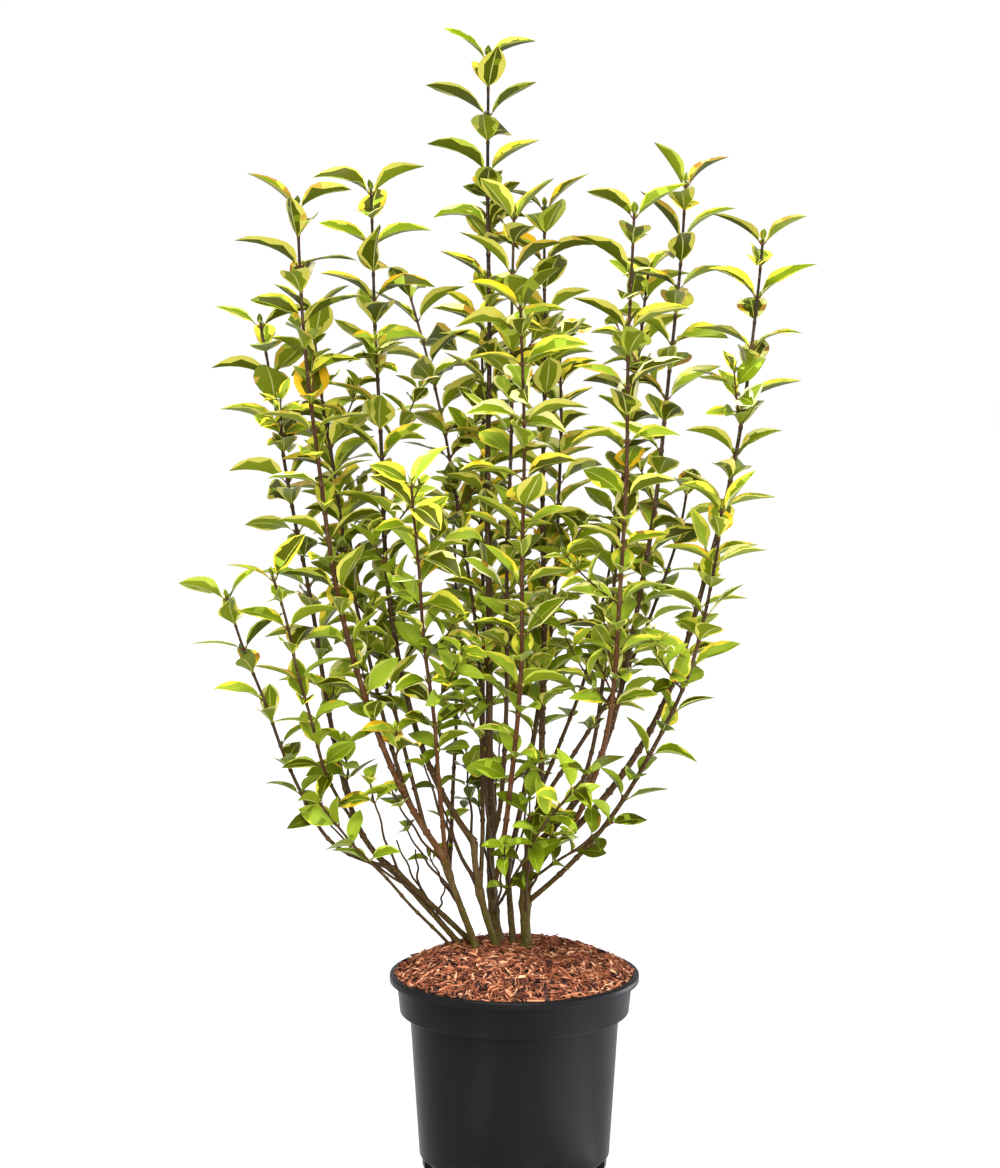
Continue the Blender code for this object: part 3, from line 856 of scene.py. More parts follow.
@dataclass
class Mulch:
    """The heaped bed of crumbs and the thousands of bark shreds that lie on it.

    heap gives the surface's height at radii from the middle to the rim, lining the rings of the bed
    under it, along the pot's inside, and chances how likely a shred is to have each colour. Pairs of
    numbers are the least and the most of what is drawn by chance. flatness is a shred's thickness
    as a share of its breadth, tapers how broad its ends are, with the place of its middle between
    them, and bow and ragged how bent it is and how torn its ends, as shares of its length. margin
    and inset hold shreds inside the rim, and probe is how far apart the slope is measured.
    """

    heap: tuple[tuple[float, float], ...] = ((0, 0.227), (0.070, 0.227), (0.097, 0.217), (0.1243, 0.2042))
    lining: tuple[tuple[float, float], ...] = (
        (0.02, 0.0162), (0.0972, 0.0162), (0.1077, 0.1662), (0.1171, 0.1675))
    bed_radius: float = 0.1192
    bed_rings: int = 24
    bed_sides: int = 120
    bed_crease: float = 50.0
    sink: float = 0.0022
    sink_edge: float = 0.0005
    lump_size: float = 0.006
    lump_height: float = 0.003
    lump_middle: float = 0.6
    shreds: int = 6500
    length: float = 0.0075
    length_spread: float = 0.48
    lengths: Span = (0.003, 0.021)
    breadth: float = 0.0014
    breadth_spread: float = 0.5
    breadths: Span = (0.0006, 0.0052)
    flatness: Span = (0.25, 0.6)
    tapers: tuple[Span, Span, Span] = ((0.25, 0.8), (-0.1, 0.1), (0.15, 0.8))
    bow: float = 0.07
    ragged: float = 0.09
    margin: float = 0.0012
    inset: float = 0.0018
    turn: float = 0.08
    pitch: float = 0.22
    roll: float = 0.5
    lifts: Span = (-0.0015, 0.0022)
    probe: float = 0.002
    roughness: float = 0.82
    crease: float = 30.0
    seed: int = 5
    chances: tuple[float, ...] = (0.20, 0.25, 0.24, 0.13, 0.06, 0.12)

    def surface(self, reach: float) -> float:
        """The heap's height at a distance from the pot's axis."""
        radii, heights = zip(*self.heap)
        return float(np.interp(reach, radii, heights))

    def bed(self) -> bpy.types.Object:
        """Models the filling, with a crumbly top just under the shreds.

        Returns:
            The bed.
        """
        rings = [self.bed_radius * (1 - i / self.bed_rings) for i in range(self.bed_rings)]
        profile = [*self.lining, *((r, self.surface(r) - self.sink) for r in rings)]
        bed = Bench.pull(profile, self.bed_sides, "mulch_bed")
        lumps = bpy.data.textures.new("lumps", "CLOUDS")
        lumps.noise_scale = self.lump_size
        group = bed.vertex_groups.new(name="heap")
        edge = self.heap[-1][1] - self.sink - self.sink_edge
        group.add([v.index for v in bed.data.vertices if v.co.z > edge], 1.0, "REPLACE")
        Bench.apply(bed, "DISPLACE", texture=lumps, strength=self.lump_height, mid_level=self.lump_middle,
                    direction="Z", texture_coords="GLOBAL", vertex_group="heap")
        bed.vertex_groups.clear()
        Bench.dress(bed, self.bed_crease, Soil().material())
        return bed

    def shred(self, rng: np.random.Generator) -> tuple[np.ndarray, float]:
        """One sliver of bark, bent, tapered and ragged at its ends.

        Args:
            rng: The seeded source of chance.

        Returns:
            Its twelve points, along X, and its length.
        """
        length = float(np.clip(rng.lognormal(math.log(self.length), self.length_spread), *self.lengths))
        broad = float(np.clip(rng.lognormal(math.log(self.breadth), self.breadth_spread), *self.breadths))
        thick = broad * rng.uniform(*self.flatness)
        bend = rng.normal(0, self.bow) * length
        start, middle, end = (rng.uniform(*span) for span in self.tapers)
        points = []
        for share, taper in ((-0.5, start), (middle, 1), (0.5, end)):
            lift = bend * (1 - 4 * share * share)
            for y, z in ((-1, -1), (1, -1), (1, 1), (-1, 1)):
                ragged = rng.uniform(-self.ragged, self.ragged) * length if abs(share) == 0.5 else 0
                points.append((share * length + ragged, y * broad / 2 * taper, z * thick / 2 * taper + lift))
        return np.array(points), length

    def scatter(self) -> Pile:
        """Strews the shreds over the heap, turned at random and kept inside the rim.

        Returns:
            The shreds.
        """
        rng = np.random.default_rng(self.seed)
        pile = Pile()
        rim = self.heap[-1][0]
        faces = [(3, 2, 1, 0), (8, 9, 10, 11)]
        for low in (0, 4):
            faces += [(low + i, low + (i + 1) % 4, low + 4 + (i + 1) % 4, low + 4 + i) for i in range(4)]
        for _ in range(self.shreds):
            points, length = self.shred(rng)
            reach = rim * math.sqrt(rng.uniform(0, 1))
            angle = rng.uniform(0, 2 * math.pi)
            yaw = rng.uniform(0, math.pi)
            room = max(rim + self.margin - reach, 0)
            if length / 2 * abs(math.cos(yaw - angle)) > room:
                yaw = angle + math.pi / 2 + rng.normal(0, self.turn)
                reach = min(reach, rim - self.inset)
            pitch, roll = rng.normal(0, self.pitch), rng.normal(0, self.roll)
            rise = self.surface(reach + self.probe) - self.surface(reach - self.probe)
            pitch += math.atan(rise / (2 * self.probe)) * math.cos(yaw - angle)
            height = self.surface(reach) + rng.uniform(*self.lifts)
            middle = (reach * math.cos(angle), reach * math.sin(angle), height)
            chip = int(rng.choice(len(self.chances), p=self.chances))
            pile.add(turned(points, yaw, -pitch, roll) + np.array(middle), faces, [chip] * len(faces))
        return pile

    def build(self) -> None:
        """Models bed and shreds, dresses them and lets them stand for their solid."""
        keep(self.bed(), "bark_mulch", "mulch")
        chips = PlainTissue(Chip, self.roughness).materials()
        keep(self.scatter().piece("bark_shreds", chips, self.crease), "bark_mulch")


@dataclass(frozen=True)
class Stem:
    """A stem that stands in the mulch, from its flat cut there to its fork."""

    name: str
    foot: tuple[float, float]
    top: Place
    spread: float
    snap: float
    bow: float
    radius: float
    top_radius: float
    tone: BarkTone = BarkTone.UMBER


@dataclass(frozen=True)
class Shoot:
    """A shoot that springs from a stem or an older shoot and carries one mass of leaves.

    start is the share of the parent's path where it springs, bare the share of its own path
    without leaves, turn the compass angle of its top pair of leaves, in degrees, and leaf the
    leaves' length.
    """

    name: str
    parent: str
    start: float
    tip: Place
    spread: float
    snap: float
    bow: float
    radius: float
    bare: float
    turn: float
    leaf: float = 0.056
    tone: BarkTone = BarkTone.UMBER


@dataclass(frozen=True)
class Twig:
    """A thin low twig: the share of its parent where it springs, its tip, and its few pairs of leaves.

    leaf is their length, gold how yellow they are, turn the top pair's compass angle, in degrees,
    and inner how deep in the crown they grow.
    """

    parent: str
    start: float
    tip: Place
    leaf: float
    pairs: int
    gold: float
    turn: float = 0.0
    inner: float = 0.0
    radius: float = 0.0016


STEMS = (
    Stem("stem_left_outer", (-0.058, 0.029), (-0.132, 0.022, 0.312), 0.45, 2, 0.010, 0.0034, 0.0029),
    Stem("stem_left_inner", (-0.044, 0.033), (-0.125, 0.008, 0.313), 0.45, 1.5, 0.005, 0.0031, 0.0024),
    Stem("stem_left", (-0.040, 0.010), (-0.073, -0.014, 0.330), -0.30, 3, -0.005, 0.0039, 0.0031,
         BarkTone.OLIVE),
    Stem("stem_centre_left", (-0.018, 0.018), (-0.042, 0.006, 0.341), 0.15, 1.5, -0.005, 0.0040, 0.0032,
         BarkTone.OLIVE),
    Stem("stem_centre", (-0.015, 0.044), (-0.023, 0.040, 0.363), 0.10, 18, -0.005, 0.0047, 0.0040),
    Stem("stem_centre_right", (-0.001, 0.030), (-0.007, 0.060, 0.305), 0.60, 1.5, 0.000, 0.0037, 0.0031),
    Stem("stem_right", (0.013, 0.012), (0.019, 0.010, 0.340), 0.15, 18, -0.005, 0.0055, 0.0048,
         BarkTone.OLIVE),
)

SHOOTS = (
    Shoot("left_outer", "stem_left_outer", 1.00, (-0.264, 0.040, 0.891), 0.25, 18, 0, 0.0024, 0.24, 10),
    Shoot("left_short", "left_outer", 0.07, (-0.245, -0.100, 0.644), 0.60, 4, 0.015, 0.0015, 0.22, 0, 0.050),
    Shoot("left_low", "stem_left_inner", 1.00, (-0.298, -0.030, 0.616), 0.35, 18, -0.005, 0.0017, 0.16, 0,
          0.048),
    Shoot("left_tall", "stem_left", 1.00, (-0.213, -0.110, 1.010), 0.35, 6, -0.020, 0.0027, 0.17, 0,
          tone=BarkTone.RUSSET),
    Shoot("left_back", "left_tall", 0.08, (-0.211, 0.060, 0.901), 0.10, 6, -0.010, 0.0019, 0.17, 30),
    Shoot("left_rear", "left_tall", 0.045, (-0.200, 0.130, 0.783), -0.30, 4, -0.020, 0.0018, 0.24, 60),
    Shoot("left_inner", "stem_centre_left", 1.00, (-0.146, 0.000, 1.027), 0.80, 6, 0, 0.0027, 0.17, 5),
    Shoot("front_left", "stem_left", 0.93, (-0.102, -0.150, 0.740), -0.30, 4, -0.005, 0.0020, 0.26, 40,
          0.050, BarkTone.RUSSET),
    Shoot("rear_left", "stem_left", 0.80, (-0.068, 0.230, 0.695), 0.40, 14, 0.005, 0.0018, 0.28, 80, 0.050),
    Shoot("back_left", "stem_centre_left", 0.52, (-0.115, 0.170, 0.915), -1.00, 2, 0.010, 0.0020, 0.22, 70),
    Shoot("leader", "stem_centre", 1.00, (-0.027, 0.015, 1.161), 0.90, 18, 0, 0.0034, 0.14, 0),
    Shoot("centre_back", "stem_centre", 0.90, (-0.034, 0.110, 0.894), 0.90, 12, 0, 0.0021, 0.22, 45),
    Shoot("centre_front", "stem_centre", 0.80, (-0.001, -0.080, 1.001), 0.55, 18, 0, 0.0021, 0.22, 20),
    Shoot("front", "stem_centre", 0.39, (0.004, -0.170, 0.914), 0.50, 6, 0.010, 0.0025, 0.20, 0,
          tone=BarkTone.RUSSET),
    Shoot("rear_right", "stem_centre_right", 1.00, (0.047, 0.190, 0.874), -0.60, 2, 0.030, 0.0026, 0.22, 35),
    Shoot("centre_right", "stem_right", 1.00, (0.031, 0.050, 1.011), 0.90, 18, 0, 0.0030, 0.17, 10),
    Shoot("right_outer", "stem_right", 0.78, (0.251, -0.010, 0.977), 0.35, 8, 0.030, 0.0031, 0.27, 0),
    Shoot("right_front", "right_outer", 0.045, (0.115, -0.140, 1.002), 0.90, 6, -0.005, 0.0023, 0.20, 0,
          tone=BarkTone.RUSSET),
    Shoot("right_tall", "stem_right", 0.95, (0.176, 0.040, 1.035), 0.40, 12, 0.015, 0.0027, 0.20, 0),
    Shoot("right_back", "right_tall", 0.05, (0.144, 0.130, 0.943), 0.35, 12, -0.005, 0.0019, 0.20, 50),
    Shoot("right_low", "stem_right", 0.42, (0.204, -0.110, 0.713), 0.15, 6, 0.040, 0.0023, 0.24, 0, 0.050),
    Shoot("right_rear", "centre_right", 0.045, (0.184, 0.100, 0.711), -0.05, 18, 0.030, 0.0020, 0.20, 75,
          0.050),
    Shoot("rear", "centre_right", 0.075, (0.113, 0.210, 0.680), 0.20, 3, 0.010, 0.0018, 0.20, 15, 0.048),
    Shoot("foot_right", "stem_right", 0.62, (0.110, -0.040, 0.382), 0.85, 1.5, -0.010, 0.0013, 0.0, 20,
          0.036),
    Shoot("foot_front", "stem_centre", 0.25, (0.079, -0.150, 0.449), 0.10, 8, -0.015, 0.0013, 0.0, 30, 0.042),
    Shoot("foot_left", "", 0.0, (-0.206, -0.060, 0.408), 0.90, 1.5, 0.015, 0.0015, 0.45, 60, 0.044),
)

LOW_TWIGS = (
    Twig("stem_centre_left", 0.75, (-0.051, 0.080, 0.424), 0.031, 4, 0.02, 20, 1.0, 0.0019),
    Twig("stem_centre", 0.45, (-0.039, 0.100, 0.384), 0.031, 2, 0.02, 60, 1.0),
    Twig("stem_centre_left", 0.50, (-0.082, 0.060, 0.392), 0.030, 1, 0.02, 0, 0.9),
    Twig("stem_left", 0.75, (-0.071, 0.060, 0.357), 0.032, 1, 0.03, 10, 1.0),
    Twig("stem_left", 0.60, (-0.113, 0.000, 0.358), 0.034, 1, 0.05, 75, 0.9),
    Twig("stem_left", 0.45, (-0.089, 0.040, 0.319), 0.034, 1, 0.03, 0, 1.0),
    Twig("stem_left_outer", 0.80, (-0.148, -0.040, 0.414), 0.040, 2, 0.75, 80),
    Twig("stem_left", 0.90, (-0.126, -0.030, 0.402), 0.038, 2, 0.42, 20),
    Twig("stem_centre", 0.20, (-0.010, -0.070, 0.353), 0.034, 2, 0.07, 0),
    Twig("stem_right", 0.30, (0.015, -0.060, 0.402), 0.038, 2, 0.09, 80),
    Twig("stem_right", 0.50, (0.046, -0.030, 0.372), 0.032, 3, 0.45, 40),
    Twig("stem_centre_right", 0.80, (0.022, 0.120, 0.400), 0.036, 2, 0.05, 30, 1.0),
    Twig("stem_left_inner", 0.70, (-0.198, -0.030, 0.376), 0.042, 1, 0.02, 10, 0.5),
    Twig("stem_centre", 0.80, (-0.015, 0.110, 0.430), 0.036, 3, 0.05, 75, 0.8),
    Twig("left_tall", 0.12, (-0.120, -0.060, 0.470), 0.040, 3, 0.62, 30, 0.0, 0.0018),
    Twig("left_inner", 0.10, (-0.078, 0.050, 0.450), 0.038, 3, 0.35, 60),
    Twig("left_outer", 0.10, (-0.175, -0.010, 0.448), 0.038, 3, 0.30, 0),
    Twig("stem_left_outer", 0.55, (-0.103, 0.010, 0.332), 0.0, 0, 0.0),
    Twig("stem_left_outer", 0.35, (-0.072, 0.000, 0.297), 0.0, 0, 0.0, 0, 0, 0.0014),
    Twig("stem_left_inner", 0.50, (-0.123, 0.020, 0.340), 0.0, 0, 0.0, 0, 0, 0.0014),
    Twig("stem_centre_left", 0.60, (-0.094, -0.020, 0.430), 0.036, 1, 0.20, 45, 0.3, 0.0024),
    Twig("stem_centre", 0.30, (-0.030, -0.010, 0.420), 0.034, 1, 0.10, 20, 0.5, 0.0026),
)


@dataclass(frozen=True)
class LeafSpot:
    """Where and how one leaf grows.

    out points away from the stem and up along it, rise is the angle at which the blade leaves the
    stem's square, bend how far it arches over, gold how much of it is yellow, fresh how light its
    greens are and broad how round it is against the usual leaf.
    """

    place: np.ndarray
    out: np.ndarray
    up: np.ndarray
    length: float
    rise: float
    bend: float
    gold: float
    fresh: float = 0.3
    broad: float = 1.0


@dataclass(frozen=True)
class Row:
    """One row of a blade's points: its middle, its directions and its form across the rib.

    broad is the half width, slope the angle at which each half rises, curl how far the margins turn
    down, and sines how high they ripple left and right, as shares of wave.
    """

    middle: np.ndarray
    across: np.ndarray
    normal: np.ndarray
    broad: float
    slope: float
    curl: float
    wave: float
    sines: tuple[float, float]

    def at(self, share: float, drop: float = 0.0) -> np.ndarray:
        """The point at a share of the half width.

        Args:
            share: The share, less than 0 left of the rib.
            drop: How far the point lies under the upper side.

        Returns:
            The point.
        """
        ripple = self.wave * share * share * self.sines[int(share > 0)]
        rise = self.broad * (abs(share) * math.sin(self.slope) - self.curl * share * share) + ripple - drop
        return self.middle + self.across * self.broad * share * math.cos(self.slope) + self.normal * rise


@dataclass
class Blade:
    """The privet leaf: a thin closed blade, folded along its rib and arched over to its tip.

    A row has eight points on the upper side and four more under it, and one point is the tip. Zones
    of colour run from -3 at the left margin over the rib at 0 to 3 at the right margin. The core is
    the green middle and the band the paler one round it, in shares of the half width; gold, from 0
    to 1, narrows the one and widens the other. A leaf's fold is drawn from the first of folds or
    from the second, less towards the tip by unfold. sway, roll, twist, curl and wave say how much
    leaves vary, and widest and fullness shape the outline.
    """

    rows: tuple[float, ...] = (0.0, 0.08, 0.19, 0.33, 0.49, 0.66, 0.83)
    width: float = 0.55
    stalk_width: float = 0.0005
    rib_share: float = 0.045
    fold: float = math.radians(44)
    folds: tuple[Span, Span] = ((0.25, 0.6), (0.7, 1.2))
    fold_chances: Span = (0.3, 0.7)
    unfold: float = 0.4
    thickness: float = 0.00028
    ridge: float = 0.0005
    steps: int = 30
    arch: float = 0.8
    sway: float = 0.07
    roll: float = 0.34
    twist: float = 0.22
    curl: float = 0.16
    wave: float = 0.02
    waves: float = 9.0
    widths: Span = (0.9, 1.12)
    widest: float = 0.80
    fullness: float = 0.88
    core: float = 0.90
    core_loss: float = 0.48
    core_least: float = 0.66
    core_least_loss: float = 0.2
    core_most: float = 1.35
    core_ends: Span = (0.12, 0.88)
    band_least: float = 0.05
    band_most: float = 0.10
    band_gain: float = 0.16
    band_end: float = 0.96
    plain_gold: float = 0.12
    dull_gold: float = 0.3
    rib_gold: float = 0.35
    blush_chance: float = 0.4
    stray_chance: float = 0.06
    plain_chance: float = 0.86
    band_chances: tuple[float, ...] = (0.32, 0.30, 0.38)

    def __post_init__(self) -> None:
        """Numbers the faces once: the points of each, and whether it is on top, its zone and its row."""
        self.faces: list[tuple[int, ...]] = []
        self.zones: list[tuple[bool, int, int]] = []
        tip = len(self.rows) * 8
        for r in range(len(self.rows)):
            last = r == len(self.rows) - 1
            ring, following = self.under(r), self.under(r + 1)
            for low in range(r * 8, r * 8 + 7):
                self.faces.append((low, tip, low + 1) if last else (low, low + 8, low + 9, low + 1))
                self.zones.append((True, low - r * 8 - 3, r))
            for k, zone in enumerate((-3, -1, 0, 1, 3)):
                end = (tip,) if last else (following[k + 1], following[k])
                self.faces.append((ring[k], ring[k + 1], *end))
                self.zones.append((False, zone, r))
        self.faces.append((*range(8), *self.under(0)[4:0:-1]))
        self.zones.append((False, 0, 0))

    def under(self, row: int) -> list[int]:
        """The numbers of a row's points on the underside, both margins included."""
        first = len(self.rows) * 8 + 1 + row * 4
        return [row * 8, first, first + 1, first + 2, first + 3, row * 8 + 7]

    def limits(self, spot: LeafSpot, rng: np.random.Generator) -> np.ndarray:
        """Draws the ragged limits of the green middle and of the paler band round it.

        Args:
            spot: The leaf.
            rng: The seeded source of chance.

        Returns:
            For each row the two limits left of the rib and the two right of it, as shares of the
            half width.
        """
        core = self.core - self.core_loss * spot.gold
        least = self.core_least - self.core_least_loss * spot.gold
        middle = np.clip(core * rng.uniform(least, self.core_most, (len(self.rows), 2)), *self.core_ends)
        most = self.band_most + self.band_gain * spot.gold
        band = np.clip(middle + rng.uniform(self.band_least, most, middle.shape), 0, self.band_end)
        return np.stack([middle[:, 0], band[:, 0], middle[:, 1], band[:, 1]], axis=1)

    def shape(self, spot: LeafSpot, limits: np.ndarray, rng: np.random.Generator) -> np.ndarray:
        """Works out the leaf's points.

        Args:
            spot: The leaf.
            limits: The limits of its zones.
            rng: The seeded source of chance.

        Returns:
            The points in the order that the faces use.
        """
        fine = np.linspace(0, 1, self.steps + 1)
        angle = spot.rise - spot.bend * fine ** self.arch
        step = spot.length / self.steps
        reach = np.concatenate(([0], np.cumsum(np.cos(angle[1:]) * step)))
        lift = np.concatenate(([0], np.cumsum(np.sin(angle[1:]) * step)))
        rows = np.append(self.rows, 1.0)
        theta = spot.rise - spot.bend * rows ** self.arch
        sway, roll, twist = (rng.normal(0, spread) for spread in (self.sway, self.roll, self.twist))
        fold = self.fold * rng.choice([rng.uniform(*span) for span in self.folds], p=self.fold_chances)
        curl, wave = rng.uniform(0, self.curl), rng.uniform(0, self.wave) * spot.length
        phases = rng.uniform(0, 2 * math.pi, 2)
        half = spot.length * self.width * spot.broad * rng.uniform(*self.widths) / 2
        outline = np.sin(math.pi * rows ** self.widest) ** self.fullness
        side = np.cross(spot.up, spot.out)
        rib = self.rib_share
        upper, lower = [], []
        for r, t in enumerate(rows):
            middle = (spot.place + spot.out * np.interp(t, fine, reach) + spot.up * np.interp(t, fine, lift)
                      + side * sway * spot.length * t * t)
            if r == len(self.rows):
                upper.append(middle)
                break
            off = spot.up * math.cos(theta[r]) - spot.out * math.sin(theta[r])
            turn = roll * min(3 * t, 1) + twist * t
            across = side * math.cos(turn) + off * math.sin(turn)
            normal = off * math.cos(turn) - side * math.sin(turn)
            sines = tuple(math.sin(self.waves * t + phase) for phase in phases)
            row = Row(middle, across, normal, max(half * outline[r], self.stalk_width),
                      fold * (1 - self.unfold * t), curl, wave, sines)
            left, left_band, right, right_band = limits[r]
            upper += [row.at(share) for share in (-1, -left_band, -left, -rib, rib, right, right_band, 1)]
            lower += [row.at(-(left + left_band) / 2, self.thickness), row.at(-rib, self.ridge),
                      row.at(rib, self.ridge), row.at((right + right_band) / 2, self.thickness)]
        return np.array(upper + lower)

    def colours(self, spot: LeafSpot, rng: np.random.Generator) -> list[int]:
        """Deals out the plain colours of one leaf.

        Args:
            spot: The leaf.
            rng: The seeded source of chance.

        Returns:
            The number of each face's colour.
        """
        gold = spot.gold
        greens = rng.choice(list(GREENS), p=chances(GREENS, spot.fresh))
        bands = rng.choice(list(BANDS), p=chances(BANDS, gold))
        margins = list(MARGINS)
        rib = Tint.RIB if gold > self.rib_gold else Tint.FRESH
        if gold < self.plain_gold:
            rib, bands = (Tint.GREEN if greens == Tint.DEEP else Tint.FRESH), greens
            margins[:4] = [greens, greens, Tint.GREEN, Tint.FRESH]
        elif gold < self.dull_gold:
            margins[:4] = [Tint.FRESH, Tint.SAGE, Tint.LIME, Tint.LIME]
        margin = rng.choice(margins, p=chances(MARGINS, gold))
        blush = rng.random() < self.blush_chance * gold
        made = []
        for upper, zone, row in self.zones:
            reach = abs(zone)
            if reach == 0:
                tint = rib if upper else Tint.UNDER_RIB
            elif reach == 3:
                tint = margin
                if blush and 1 < row < 5 and rng.random() < self.blush_chance:
                    tint = rng.choice([Tint.GOLD, Tint.BLUSH])
                elif rng.random() < self.stray_chance:
                    tint = rng.choice(margins[:3])
            elif reach == 2:
                tint = rng.choice([greens, bands, margin], p=self.band_chances)
            else:
                plain = rng.random() < self.plain_chance
                tint = greens if plain else rng.choice([Tint.GREEN, greens, Tint.FRESH])
            if not upper and reach:
                tint = UNDERSIDES[tint]
            made.append(SLOTS[tint])
        return made

    def grow(self, pile: Pile, spot: LeafSpot, rng: np.random.Generator) -> None:
        """Adds one leaf to a pile."""
        limits = self.limits(spot, rng)
        pile.add(self.shape(spot, limits, rng), self.faces, self.colours(spot, rng))


@dataclass(frozen=True)
class Stalk:
    """A leaf stalk: a short tube that leaves the limb, bends upward and reaches into its blade.

    root is where in the limb it starts, as a share of the radius, and bends how far out and up it
    has come at its bend and at its end, as shares of its length, which it has in full from
    full_leaf on. Its radius grows with the blade, and at thick_leaf is the one given here.
    """

    length: float = 0.0035
    full_leaf: float = 0.04
    radius: float = 0.00055
    thick_leaf: float = 0.045
    thickest: float = 1.2
    taper: tuple[float, ...] = (2.2, 1.25, 0.9)
    root: float = 0.5
    bends: tuple[Span, Span] = ((0.35, 0.35), (0.75, 0.95))
    overlap: float = 0.3
    sides: int = 5

    def grow(self, pile: Pile, node: Node, out: np.ndarray, up: np.ndarray, leaf: float) -> np.ndarray:
        """Adds one stalk to a pile.

        Args:
            pile: The pile.
            node: The node that it grows from.
            out: The direction away from the limb.
            up: The direction along the limb.
            leaf: The length of its blade.

        Returns:
            The point where the blade starts.
        """
        length = self.length * min(1, leaf / self.full_leaf)
        foot = node.place + out * node.radius * self.root
        bent, end = (node.place + out * (node.radius + length * away) + up * length * along
                     for away, along in self.bends)
        radii = np.array(self.taper) * (self.radius * min(self.thickest, leaf / self.thick_leaf))
        middles = np.array([foot, bent, end + (end - bent) * self.overlap])
        pile.tube(middles, radii, self.sides, SLOTS[Tint.STALK])
        return end


@dataclass(frozen=True)
class Bud:
    """A small bud of two folded scales, each a long diamond with a ridge on its face and its back.

    lean is how far a scale leans out and aside, turn how far its face is turned outward, and depths
    how far face and back stand out from its middle, as shares of its length.
    """

    lean: Span = (0.25, 0.35)
    turn: float = 0.3
    breadths: Span = (0.17, 0.26)
    depths: Span = (0.10, 0.02)

    def grow(self, pile: Pile, place: np.ndarray, out: np.ndarray, up: np.ndarray, length: float,
             rng: np.random.Generator) -> None:
        """Adds one bud to a pile.

        Args:
            pile: The pile.
            place: Its foot.
            out: The direction away from the limb.
            up: The direction along the limb.
            length: Its length.
            rng: The seeded source of chance.
        """
        side = np.cross(up, out)
        faces = [(1, 0, 4), (2, 1, 4), (3, 2, 4), (0, 3, 4), (0, 1, 5), (1, 2, 5), (2, 3, 5), (3, 0, 5)]
        for hand in (-1, 1):
            lean = unit(up + out * self.lean[0] + side * hand * self.lean[1])
            face = square_to(lean, side * hand + out * self.turn)
            middle = place + lean * length * 0.5
            half = np.cross(face, lean) * (length * rng.uniform(*self.breadths))
            points = np.array([place, middle + half, place + lean * length, middle - half,
                               middle + face * length * self.depths[0],
                               middle - face * length * self.depths[1]])
            tint = rng.choice([Tint.BUD, Tint.GREEN, Tint.SAGE])
            pile.add(points, faces, [SLOTS[tint]] * len(faces))


